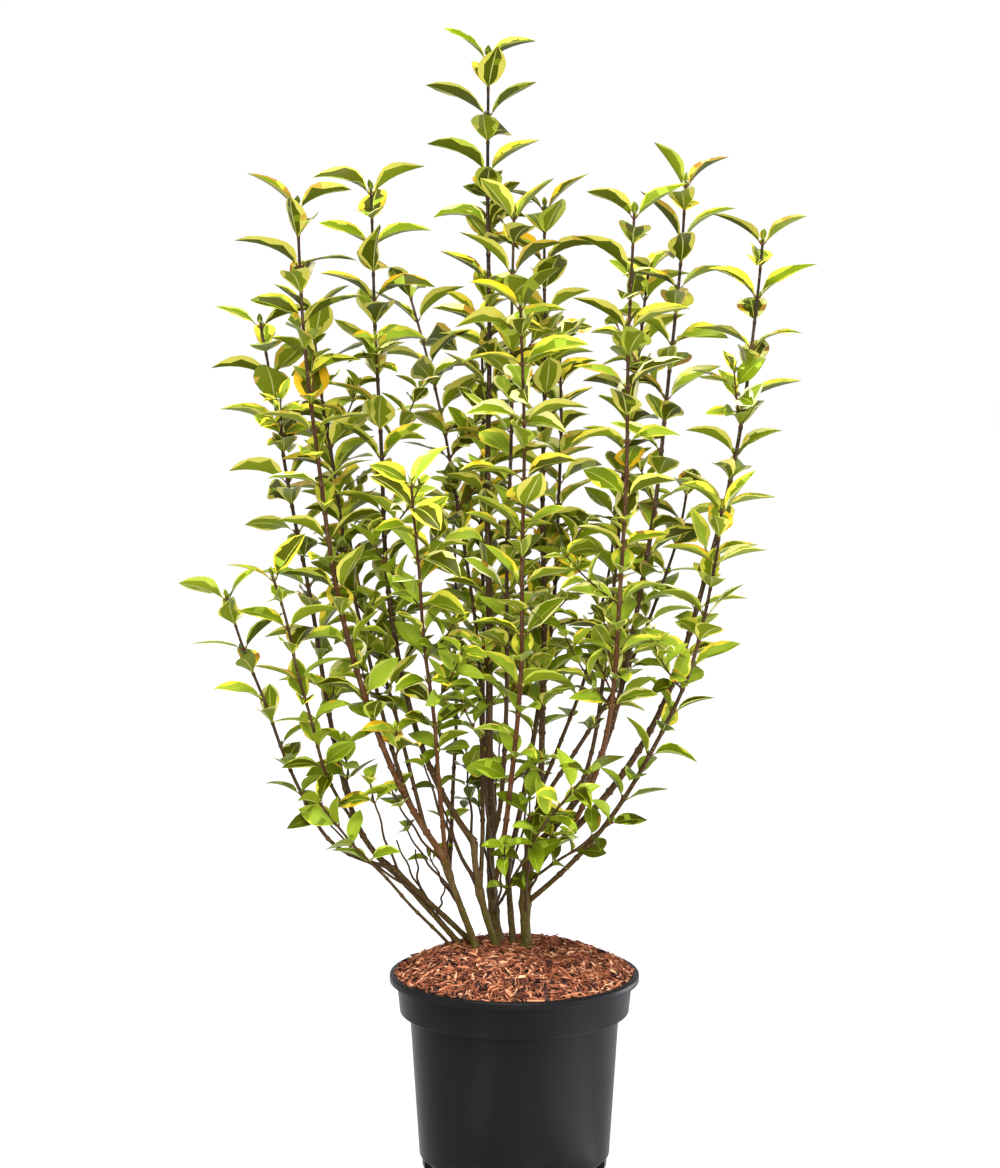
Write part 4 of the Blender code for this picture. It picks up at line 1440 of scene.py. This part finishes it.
@dataclass
class Growth:
    """The privet's woody axes and everything that grows on them, by one seeded rule.

    A swell is by how much a limb thickens at a fork, a node (a knot) or its own foot (the collar),
    and a reach how far along the limb that goes. jitter turns a pair of leaves, in degrees. The top
    node has the first number of young_jitter and young_swell as its share, and each next one the
    second more. Other pairs of numbers are the least and the most of what is drawn by chance, and
    twig_radii go from the foot to the end. Lengths of leaves are shares of the shoot's own, less
    towards its foot by leaf_loss, and bud_leaf is the shortest leaf with a bud. The levels give gold
    and fresh at heights in the crown, and the shades how much is lost deep in it. Below lost_depth,
    a share of the shoot from its tip, more leaves are lost. A tuft is the length of the young leaves
    at an end, as a share of the others, and how yellow they are.
    """

    mulch_top: float = 0.227
    gap: float = 0.0003
    lone_foot: tuple[float, float] = (-0.066, 0.018)
    planted_depth: float = 0.008
    planted_swell: float = 1.1
    flare: float = 1.35
    flare_share: float = 0.12
    fork_swell: float = 0.38
    fork_reach: float = 0.008
    stem_rings: float = 0.004
    stem_relief: float = 0.0012
    stem_roundness: int = 6
    bark_crease: float = 40.0
    leaf_crease: float = 55.0
    twig_crease: float = 60.0
    shoot_rings: float = 0.007
    shoot_relief: float = 0.0003
    shoot_roundness: int = 3
    lump_size: float = 0.006
    tip_radius: float = 0.0013
    sturdy: float = 1.25
    slimming: float = 1.1
    wander: float = 0.0012
    internode: float = 0.027
    jitter: float = 12.0
    top_gap: float = 0.019
    tip_bud: float = 0.005
    bare_knots: float = 0.25
    lowest_knot: float = 0.02
    internodes: Span = (0.92, 1.08)
    young_jitter: Span = (0.3, 0.1)
    young_swell: Span = (0.6, 0.1)
    knot_rings: tuple[float, ...] = (-0.003, -0.0012, 0.0, 0.0012, 0.003)
    least_ring: float = 0.0005
    knot_swell: float = 0.34
    knot_reach: float = 0.0016
    collar_swell: float = 0.45
    collar_reach: float = 0.007
    rise: float = math.radians(43)
    bend: float = math.radians(38)
    rise_spread: float = 0.16
    bend_spread: float = 0.2
    turn_spread: float = 0.09
    upright_rise: float = 0.5
    upright_unbend: float = 0.75
    top_upright: float = 0.12
    axil_out: float = 1.05
    axil_up: float = 0.0008
    bud_chance: float = 0.8
    bud_leaf: float = 0.03
    bud_lengths: Span = (0.003, 0.0075)
    lowest_leaf: float = 0.285
    bare_reach: float = 0.008
    leaf_lengths: Span = (1.01, 1.25)
    leaf_loss: float = 0.31
    young_leaves: tuple[float, ...] = (0.86, 0.96, 1.0)
    lost_chance: float = 0.04
    lost_gain: float = 0.16
    lost_depth: float = 0.6
    gold_levels: tuple[tuple[float, ...], ...] = ((0.38, 0.52, 0.78, 1.10), (0.12, 0.48, 0.68, 0.60))
    gold_shade: float = 0.25
    gold_spread: float = 0.16
    gold_ends: Span = (0.02, 0.98)
    fresh_levels: tuple[tuple[float, ...], ...] = ((0.34, 0.50, 0.75, 1.00), (0.35, 0.95, 0.65, 0.05))
    fresh_shade: float = 0.5
    shade_depth: float = 0.5
    tuft_sink: float = 0.001
    tuft_out: float = 0.0006
    tuft_leaves: Span = (0.8, 1.1)
    tuft_rise: float = math.radians(80)
    tuft_rise_spread: float = 0.06
    tuft_bend: float = math.radians(22)
    tuft_gold: float = 0.6
    tuft_bud: float = 0.5
    shoot_tuft: Span = (0.22, 0.4)
    twig_tuft: Span = (0.32, 0.3)
    twig_chance: float = 0.19
    twig_depth: float = 0.30
    twig_turn: float = 0.2
    twig_reach: float = 0.06
    twig_woody: float = 0.6
    twig_inner: Span = (0.3, 0.9)
    twig_top_leaf: float = 0.72
    twig_leaf_spread: Span = (0.85, 1.1)
    twig_upright: float = 0.1
    twig_bearer: float = 0.0016
    twig_rises: Span = (38, 56)
    twig_lengths: Span = (0.045, 0.095)
    twig_leaves: Span = (0.52, 0.72)
    twig_internodes: Span = (0.013, 0.018)
    twig_radii: Span = (0.00125, 0.0007)
    twig_rings: int = 8
    twig_sides: int = 6
    twig_bare: float = 0.012
    twig_top_gap: float = 0.004
    twig_node: float = 0.0009
    low_twig_internodes: Span = (0.016, 0.022)
    low_twig_end: float = 0.0009
    low_twig_rings: int = 14
    low_twig_sides: int = 7
    low_twig_wander: float = 0.0015
    low_twig_bare: float = 0.03
    low_twig_top_gap: float = 0.006
    low_twig_node: float = 0.001
    low_twig_broad: float = 1.25
    low_twig_leaves: Span = (0.8, 1.15)
    low_twig_top_leaf: float = 0.8
    low_twig_gold_spread: float = 0.1
    low_twig_gold_ends: Span = (0.01, 0.9)
    low_twig_tuft: float = 0.3
    seed: int = 11

    def __post_init__(self) -> None:
        """Starts the piles of twigs, buds and low leaves, and the forms that all leaves share."""
        self.blade, self.stalk, self.bud = Blade(), Stalk(), Bud()
        self.twigs, self.buds, self.low_leaves = Pile(), Pile(), Pile()
        self.axes: dict[str, Axis] = {}
        self.rng = np.random.default_rng(self.seed)

    def stem_radius(self, size: Stem, share: np.ndarray) -> np.ndarray:
        """A stem's radius along its height, with its flare at the foot."""
        flare = np.maximum(0, 1 - share / self.flare_share) ** 2
        return (size.radius + (size.top_radius - size.radius) * share) * (1 + (self.flare - 1) * flare)

    def shoot_radius(self, size: Shoot, share: np.ndarray) -> np.ndarray:
        """A shoot's radius along its height."""
        return self.tip_radius + (size.radius * self.sturdy - self.tip_radius) * (1 - share) ** self.slimming

    def sprout(self, parent: str, start: float) -> Place:
        """The place on a parent's middle line at this share of its height."""
        axis = self.axes[parent]
        return tuple(axis.place(np.array(axis.walked_at(start))))

    def rings(self, axis: Axis, knots: Sequence[float], spacing: float) -> np.ndarray:
        """Where a limb has its rings: evenly, and closer at each node.

        Args:
            axis: The limb's axis.
            knots: The nodes, as lengths from the foot.
            spacing: The even spacing.

        Returns:
            Lengths from the foot, rising.
        """
        even = np.linspace(0, axis.length, max(int(axis.length / spacing), 3) + 1)
        near = np.array([k + step for k in knots for step in self.knot_rings])
        both = np.unique(np.clip(np.concatenate([even, near]), 0, axis.length))
        return both[np.concatenate(([True], np.diff(both) > self.least_ring))]

    def limb(self, size: Stem | Shoot, axis: Axis, walked: np.ndarray, radii: np.ndarray, roundness: int,
             relief: float, planted: bool) -> None:
        """Makes one stem or shoot of bark and lets it stand for its solid.

        Args:
            size: Its sizes.
            axis: Its axis.
            walked: Where it is given a radius.
            radii: Its radius at each of these.
            roundness: How finely it is rounded.
            relief: How far the bark's lumps stand out.
            planted: Whether its foot stands in the mulch.
        """
        middles = axis.place(walked)
        if planted:
            middles = np.concatenate([middles[:1] - np.array([[0, 0, self.planted_depth]]), middles])
            radii = np.concatenate([radii[:1] * self.planted_swell, radii])
        obj = Bench.draw(middles, radii, roundness, "bark_" + size.name)
        Bench.apply(obj, "DISPLACE", texture=self.lumps, strength=relief, mid_level=0.5,
                    texture_coords="LOCAL")
        Bench.dress(obj, self.bark_crease, self.barks[size.tone])
        keep(obj, "bark", *(node for node in (size.name, "bough_" + size.name) if node in frame["nodes"]))

    def knots(self, length: float, low: float, spacing: float,
              turn: float) -> list[tuple[float, float, int]]:
        """The nodes of a shoot, from its tip down, each pair of leaves square to the last.

        Args:
            length: The length from the foot to the top node.
            low: The length from the foot below which it has no nodes.
            spacing: The length between nodes.
            turn: The compass angle of the top pair, in degrees.

        Returns:
            For each node its length from the foot, its compass angle and its number.
        """
        made = []
        first, growth = self.young_jitter
        while length > low:
            number = len(made)
            wobble = self.rng.normal(0, self.jitter * min(1, first + growth * number))
            made.append((length, math.radians(turn + 90 * (number % 2) + wobble), number))
            length -= spacing * self.rng.uniform(*self.internodes)
        return made

    def swelling(self, walked: np.ndarray, knots: Sequence[tuple], collar: bool) -> np.ndarray:
        """How a shoot widens at its nodes, and at its own foot.

        Args:
            walked: The lengths from the foot to look at.
            knots: Its nodes.
            collar: Whether it widens into a parent at its foot.

        Returns:
            What the radius there is multiplied by.
        """
        made = np.ones(len(walked))
        first, growth = self.young_swell
        for knot, _, number in knots:
            bump = np.exp(-((walked - knot) / self.knot_reach) ** 2)
            made += self.knot_swell * bump * min(1, first + number * growth)
        if collar:
            made *= 1 + self.collar_swell * np.exp(-walked / self.collar_reach)
        return made

    def gold_at(self, height: float, inner: float) -> float:
        """How yellow a leaf is: more with height and light, less deep in the crown."""
        level = float(np.interp(height, *self.gold_levels)) - self.gold_shade * inner
        return float(np.clip(level + self.rng.normal(0, self.gold_spread), *self.gold_ends))

    def fresh_at(self, height: float, inner: float) -> float:
        """How light a leaf's greens are: lightest half way up, darker inside and at the top."""
        level = float(np.interp(height, *self.fresh_levels))
        return float(np.clip(level - self.fresh_shade * inner, 0, 1))

    def leaf(self, pile: Pile, node: Node, angle: float, length: float, gold: float, upright: float = 0.0,
             inner: float = 0.0, broad: float = 1.0) -> None:
        """Grows one leaf on its stalk, with the bud in its axil.

        Args:
            pile: The leaves of the mass.
            node: The node.
            angle: The leaf's compass angle, in radians.
            length: The blade's length.
            gold: How yellow it is.
            upright: How much steeper than usual it stands, 0 to 1.
            inner: How deep in the crown it grows, 0 to 1.
            broad: How round it is against the usual leaf.
        """
        out, up = node.facing(angle)
        end = self.stalk.grow(self.twigs, node, out, up, length)
        rise = self.rise + upright * self.upright_rise + self.rng.normal(0, self.rise_spread)
        bend = self.bend * (1 - upright * self.upright_unbend) + self.rng.normal(0, self.bend_spread)
        fresh = self.fresh_at(float(node.place[2]), inner)
        self.blade.grow(pile, LeafSpot(end, out, up, length, rise, bend, gold, fresh, broad), self.rng)
        if length > self.bud_leaf and self.rng.random() < self.bud_chance:
            axil = node.place + out * node.radius * self.axil_out + up * self.axil_up
            self.bud.grow(self.buds, axil, out, up, self.rng.uniform(*self.bud_lengths), self.rng)

    def tuft(self, pile: Pile, node: Node, turn: float, length: float, gold: float) -> None:
        """Ends a shoot with an upright pair of young leaves and a bud between them.

        Args:
            pile: The leaves of the mass.
            node: The end of the wood.
            turn: The compass angle of the shoot's top pair, in degrees.
            length: The young leaves' length.
            gold: How yellow they are.
        """
        turn = math.radians(turn + 90)
        for half_turn in (0, math.pi):
            out, up = node.facing(turn + half_turn)
            blade = length * self.rng.uniform(*self.tuft_leaves)
            rise = self.tuft_rise + self.rng.normal(0, self.tuft_rise_spread)
            spot = LeafSpot(node.place + out * self.tuft_out, out, up, blade, rise, self.tuft_bend,
                            gold * self.tuft_gold)
            self.blade.grow(pile, spot, self.rng)
        out, up = node.facing(turn + math.pi / 2)
        self.bud.grow(self.buds, node.place, out, up, length * self.tuft_bud, self.rng)

    def side_twig(self, pile: Pile, foot: Node, angle: float, leaf: float) -> None:
        """Grows a side twig with its own small pairs of leaves.

        Args:
            pile: The leaves of the mass.
            foot: The node that it springs from.
            angle: Its compass angle, in radians.
            leaf: The length of the shoot's leaves.
        """
        out, up = foot.facing(angle)
        rise = math.radians(self.rng.uniform(*self.twig_rises))
        way = out * math.cos(rise) + up * math.sin(rise)
        tip = foot.place + way * self.rng.uniform(*self.twig_lengths)
        axis = Axis(Path(tuple(foot.place), tuple(tip), spread=0.35, snap=2, bow=0), samples=60)
        wood = SLOTS[Tint.WOOD if self.rng.random() < self.twig_woody else Tint.STALK]
        middles = axis.place(np.linspace(0, axis.length, self.twig_rings))
        self.twigs.tube(middles, np.linspace(*self.twig_radii, self.twig_rings), self.twig_sides, wood)
        turn, inner = self.rng.uniform(0, 360), self.rng.uniform(*self.twig_inner)
        blade = leaf * self.rng.uniform(*self.twig_leaves)
        spacing = self.rng.uniform(*self.twig_internodes)
        top = axis.length - self.twig_top_gap
        for walked, direction, number in self.knots(top, self.twig_bare, spacing, turn):
            node = axis.node(walked, self.twig_node)
            small = blade * (1.0 if number else self.twig_top_leaf) * self.rng.uniform(*self.twig_leaf_spread)
            for half_turn in (0, math.pi):
                gold = self.gold_at(float(node.place[2]), inner)
                self.leaf(pile, node, direction + half_turn, small, gold, self.twig_upright)
        share, gold = self.twig_tuft
        self.tuft(pile, axis.node(axis.length - self.tuft_sink), turn, blade * share, gold)

    def shoot(self, index: int, size: Shoot) -> None:
        """Grows one shoot: its bark, its leaves at every node and its side twigs.

        Args:
            index: The shoot's number in the order of growth.
            size: Its sizes.
        """
        self.rng = np.random.default_rng(self.seed + index)
        foot = (*self.lone_foot, self.mulch_top + self.gap)
        if size.parent:
            foot = self.sprout(size.parent, size.start)
        phase = self.rng.uniform(0, 6)
        axis = Axis(Path(foot, size.tip, size.spread, size.snap, size.bow, self.wander, phase))
        self.axes[size.name] = axis
        low, top = axis.walked_at(size.bare), axis.length - self.top_gap
        knots = self.knots(top, max(low * self.bare_knots, self.lowest_knot), self.internode, size.turn)
        walked = self.rings(axis, [knot[0] for knot in knots], self.shoot_rings)
        walked = walked[walked <= top + self.tip_bud]
        radii = self.shoot_radius(size, axis.share(walked)) * self.swelling(walked, knots, bool(size.parent))
        self.limb(size, axis, walked, radii, self.shoot_roundness, self.shoot_relief, not size.parent)
        pile = Pile()
        for knot, angle, number in knots:
            node = axis.node(knot, float(self.shoot_radius(size, axis.share(knot))))
            x, y, height = map(float, node.place)
            if knot < low + self.bare_reach or height < self.lowest_leaf:
                continue
            depth = 1 - (knot - low) / (axis.length - low)
            young = self.young_leaves[min(number, 2)]
            for half_turn in (0, math.pi):
                lost = self.lost_chance + self.lost_gain * max(0, depth - self.lost_depth)
                if number > 1 and self.rng.random() < lost:
                    continue
                length = size.leaf * young * self.rng.uniform(*self.leaf_lengths)
                length *= 1 - self.leaf_loss * depth
                gold = self.gold_at(height, max(0, depth - self.shade_depth))
                turned_by = angle + half_turn + self.rng.normal(0, self.turn_spread)
                self.leaf(pile, node, turned_by, length, gold, 0 if number else self.top_upright)
            if (self.twig_depth < depth < 1 and self.rng.random() < self.twig_chance
                    and size.radius > self.twig_bearer):
                side = angle + self.rng.choice([0, math.pi]) + self.rng.normal(0, self.twig_turn)
                if x * math.cos(side) + y * math.sin(side) > self.twig_reach:
                    side += math.pi
                self.side_twig(pile, node, side, size.leaf)
        share, gold = self.shoot_tuft
        self.tuft(pile, axis.node(walked[-1] - self.tuft_sink), size.turn, size.leaf * share, gold)
        foliage = pile.piece("foliage_" + size.name, self.tissues, self.leaf_crease)
        keep(foliage, "foliage", "leaves_" + size.name)

    def low_twig(self, size: Twig) -> None:
        """Grows one thin low twig with a few pairs of leaves towards its end.

        Args:
            size: Its sizes.
        """
        foot = self.sprout(size.parent, size.start)
        axis = Axis(Path(foot, size.tip, spread=0.3, snap=2.5, bow=0, wander=self.low_twig_wander,
                         phase=self.rng.uniform(0, 6)), samples=80)
        middles = axis.place(np.linspace(0, axis.length, self.low_twig_rings))
        radii = np.linspace(size.radius, self.low_twig_end, self.low_twig_rings)
        self.twigs.tube(middles, radii, self.low_twig_sides, SLOTS[Tint.WOOD])
        if not size.pairs:
            return
        spacing = self.rng.uniform(*self.low_twig_internodes)
        knots = self.knots(axis.length - self.low_twig_top_gap, self.low_twig_bare, spacing, size.turn)
        for walked, direction, number in knots[:size.pairs]:
            node = axis.node(walked, self.low_twig_node)
            for half_turn in (0, math.pi):
                length = size.leaf * self.rng.uniform(*self.low_twig_leaves)
                length *= 1 if number else self.low_twig_top_leaf
                gold = size.gold + self.rng.normal(0, self.low_twig_gold_spread)
                gold = float(np.clip(gold, *self.low_twig_gold_ends))
                self.leaf(self.low_leaves, node, direction + half_turn, length, gold, 0, size.inner,
                          self.low_twig_broad)
        end = axis.node(axis.length - self.tuft_sink)
        self.tuft(self.low_leaves, end, size.turn, size.leaf * self.low_twig_tuft, size.gold)

    def stem(self, size: Stem) -> None:
        """Grows one stem of the stool.

        Args:
            size: Its sizes.
        """
        foot = (*size.foot, self.mulch_top + self.gap)
        axis = self.axes[size.name] = Axis(Path(foot, size.top, size.spread, size.snap, size.bow))
        forks = [axis.walked_at(shoot.start) for shoot in SHOOTS if shoot.parent == size.name]
        walked = self.rings(axis, forks, self.stem_rings)
        radii = self.stem_radius(size, axis.share(walked))
        for fork in forks:
            radii *= 1 + self.fork_swell * np.exp(-((walked - fork) / self.fork_reach) ** 2)
        self.limb(size, axis, walked, radii, self.stem_roundness, self.stem_relief, True)

    def build(self) -> None:
        """Grows the whole plant."""
        self.barks = {tone: Bark(tone).material() for tone in BarkTone}
        self.lumps = bpy.data.textures.new("bark_lumps", "CLOUDS")
        self.lumps.noise_scale = self.lump_size
        self.tissues = PlainTissue(Tint, roughness=0.40, sheen=0.06).materials()
        for size in STEMS:
            self.stem(size)
        for index, size in enumerate(SHOOTS):
            self.shoot(index, size)
        self.rng = np.random.default_rng(self.seed + 100)
        for size in LOW_TWIGS:
            self.low_twig(size)
        keep(self.low_leaves.piece("foliage_of_low_twigs", self.tissues, self.leaf_crease), "foliage")
        keep(self.twigs.piece("leaf_stalks_and_twigs", self.tissues, self.twig_crease), "bark")
        keep(self.buds.piece("buds", self.tissues, self.twig_crease), "foliage")


@dataclass(frozen=True)
class Lamp:
    """A soft box that the camera doesn't see: where it hangs, where it looks, its width and height."""

    name: str
    place: Place
    aim: Place
    size: tuple[float, float]
    watts: float
    colour: Colour = (1, 1, 1)

    def hang(self) -> None:
        """Hangs it in the scene."""
        light = bpy.data.lights.new(self.name, "AREA")
        light.shape = "RECTANGLE"
        light.size, light.size_y = self.size
        light.energy = self.watts
        light.color = self.colour
        obj = bpy.data.objects.new(self.name, light)
        obj.visible_camera = False
        obj.location = self.place
        x, y, z = np.array(self.place) - np.array(self.aim)
        obj.rotation_euler = (math.atan2(math.hypot(x, y), z), 0, math.atan2(y, x) + math.pi / 2)
        bpy.context.scene.collection.objects.link(obj)


LAMPS = (
    Lamp("key", (-0.9, -1.9, 5.2), (0, 0, 0.6), (2.6, 2.6), 600),
    Lamp("front", (0.6, -4.2, 1.9), (0, 0, 0.6), (2.6, 1.6), 215),
    Lamp("pot_right_edge", (0.85, 0.38, 0.10), (0, 0, 0.08), (0.5, 0.2), 6, (0.94, 0.91, 1.0)),
    Lamp("pot_right", (0.95, -0.40, 0.10), (0, 0, 0.08), (0.8, 0.2), 4, (0.96, 0.94, 1.0)),
    Lamp("pot_card", (0.28, -0.15, 0.002), (0.28, -0.15, 1.0), (0.24, 0.32), 1.1, (0.95, 0.93, 1.0)),
    Lamp("pot_left", (-0.15, -0.27, 0.002), (-0.15, -0.27, 1.0), (0.2, 0.08), 0.2),
)


@dataclass
class Studio:
    """The pale floor, the soft lights and the camera of the photograph.

    The sky's light goes from horizon to dome between the two heights of fade.
    """

    camera_place: Place = (-0.015, -3.0, 0.9586)
    pitch: float = 6.6
    focal_pixels: float = 2942.0
    frame_height: float = 1168.0
    sensor: float = 36.0
    floor_size: float = 30.0
    floor_height: float = -0.0005
    floor_tone: Colour = (0.18, 0.18, 0.18)
    floor_glow: float = 0.93
    fade: Span = (0.22, 0.5)
    horizon: float = 1.03
    dome: float = 0.33

    def floor(self) -> None:
        """Lays the pale floor."""
        Bench.pick()
        bpy.ops.mesh.primitive_plane_add(size=self.floor_size, location=(0, 0, self.floor_height))
        floor = bpy.context.object
        floor.name = "studio_floor"
        shader = fresh_material("pale_floor")
        shader.paint(Base_Color=self.floor_tone, Emission_Color=(1, 1, 1), Emission_Strength=self.floor_glow,
                     Roughness=1.0, Specular_IOR_Level=0.0)
        floor.data.materials.append(shader.owner)

    def sky(self) -> None:
        """Lights the world, white low down and darker overhead."""
        sky = Shader(bpy.data.worlds.new("white_room"), "Background")
        height = sky.height(sky.add("ShaderNodeTexCoord", {}, {}))
        sky.paint(Color=(1, 1, 1), Strength=height.ramp(*self.fade, self.horizon, self.dome))
        bpy.context.scene.world = sky.owner

    def camera(self) -> None:
        """Sets up the camera at the photograph's viewing angle."""
        camera = bpy.data.cameras.new("camera")
        camera.sensor_fit = "VERTICAL"
        camera.sensor_height = self.sensor
        camera.lens = self.focal_pixels / self.frame_height * self.sensor
        obj = bpy.data.objects.new("camera", camera)
        obj.location = self.camera_place
        obj.rotation_euler = (math.radians(90 - self.pitch), 0, 0)
        bpy.context.scene.collection.objects.link(obj)
        bpy.context.scene.camera = obj

    def build(self) -> None:
        """Sets up floor, lamps, world and camera."""
        self.floor()
        for lamp in LAMPS:
            lamp.hang()
        self.sky()
        self.camera()
        bpy.context.scene.view_settings.view_transform = "Standard"


def main() -> None:
    """Builds the studio and the plant, and reports each piece."""
    logging.basicConfig(level=logging.INFO, format="%(message)s")
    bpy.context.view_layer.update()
    Studio().build()
    Pot().build()
    Mulch().build()
    Growth().build()
    Bench.pick()


if __name__ == "__main__":
    main()
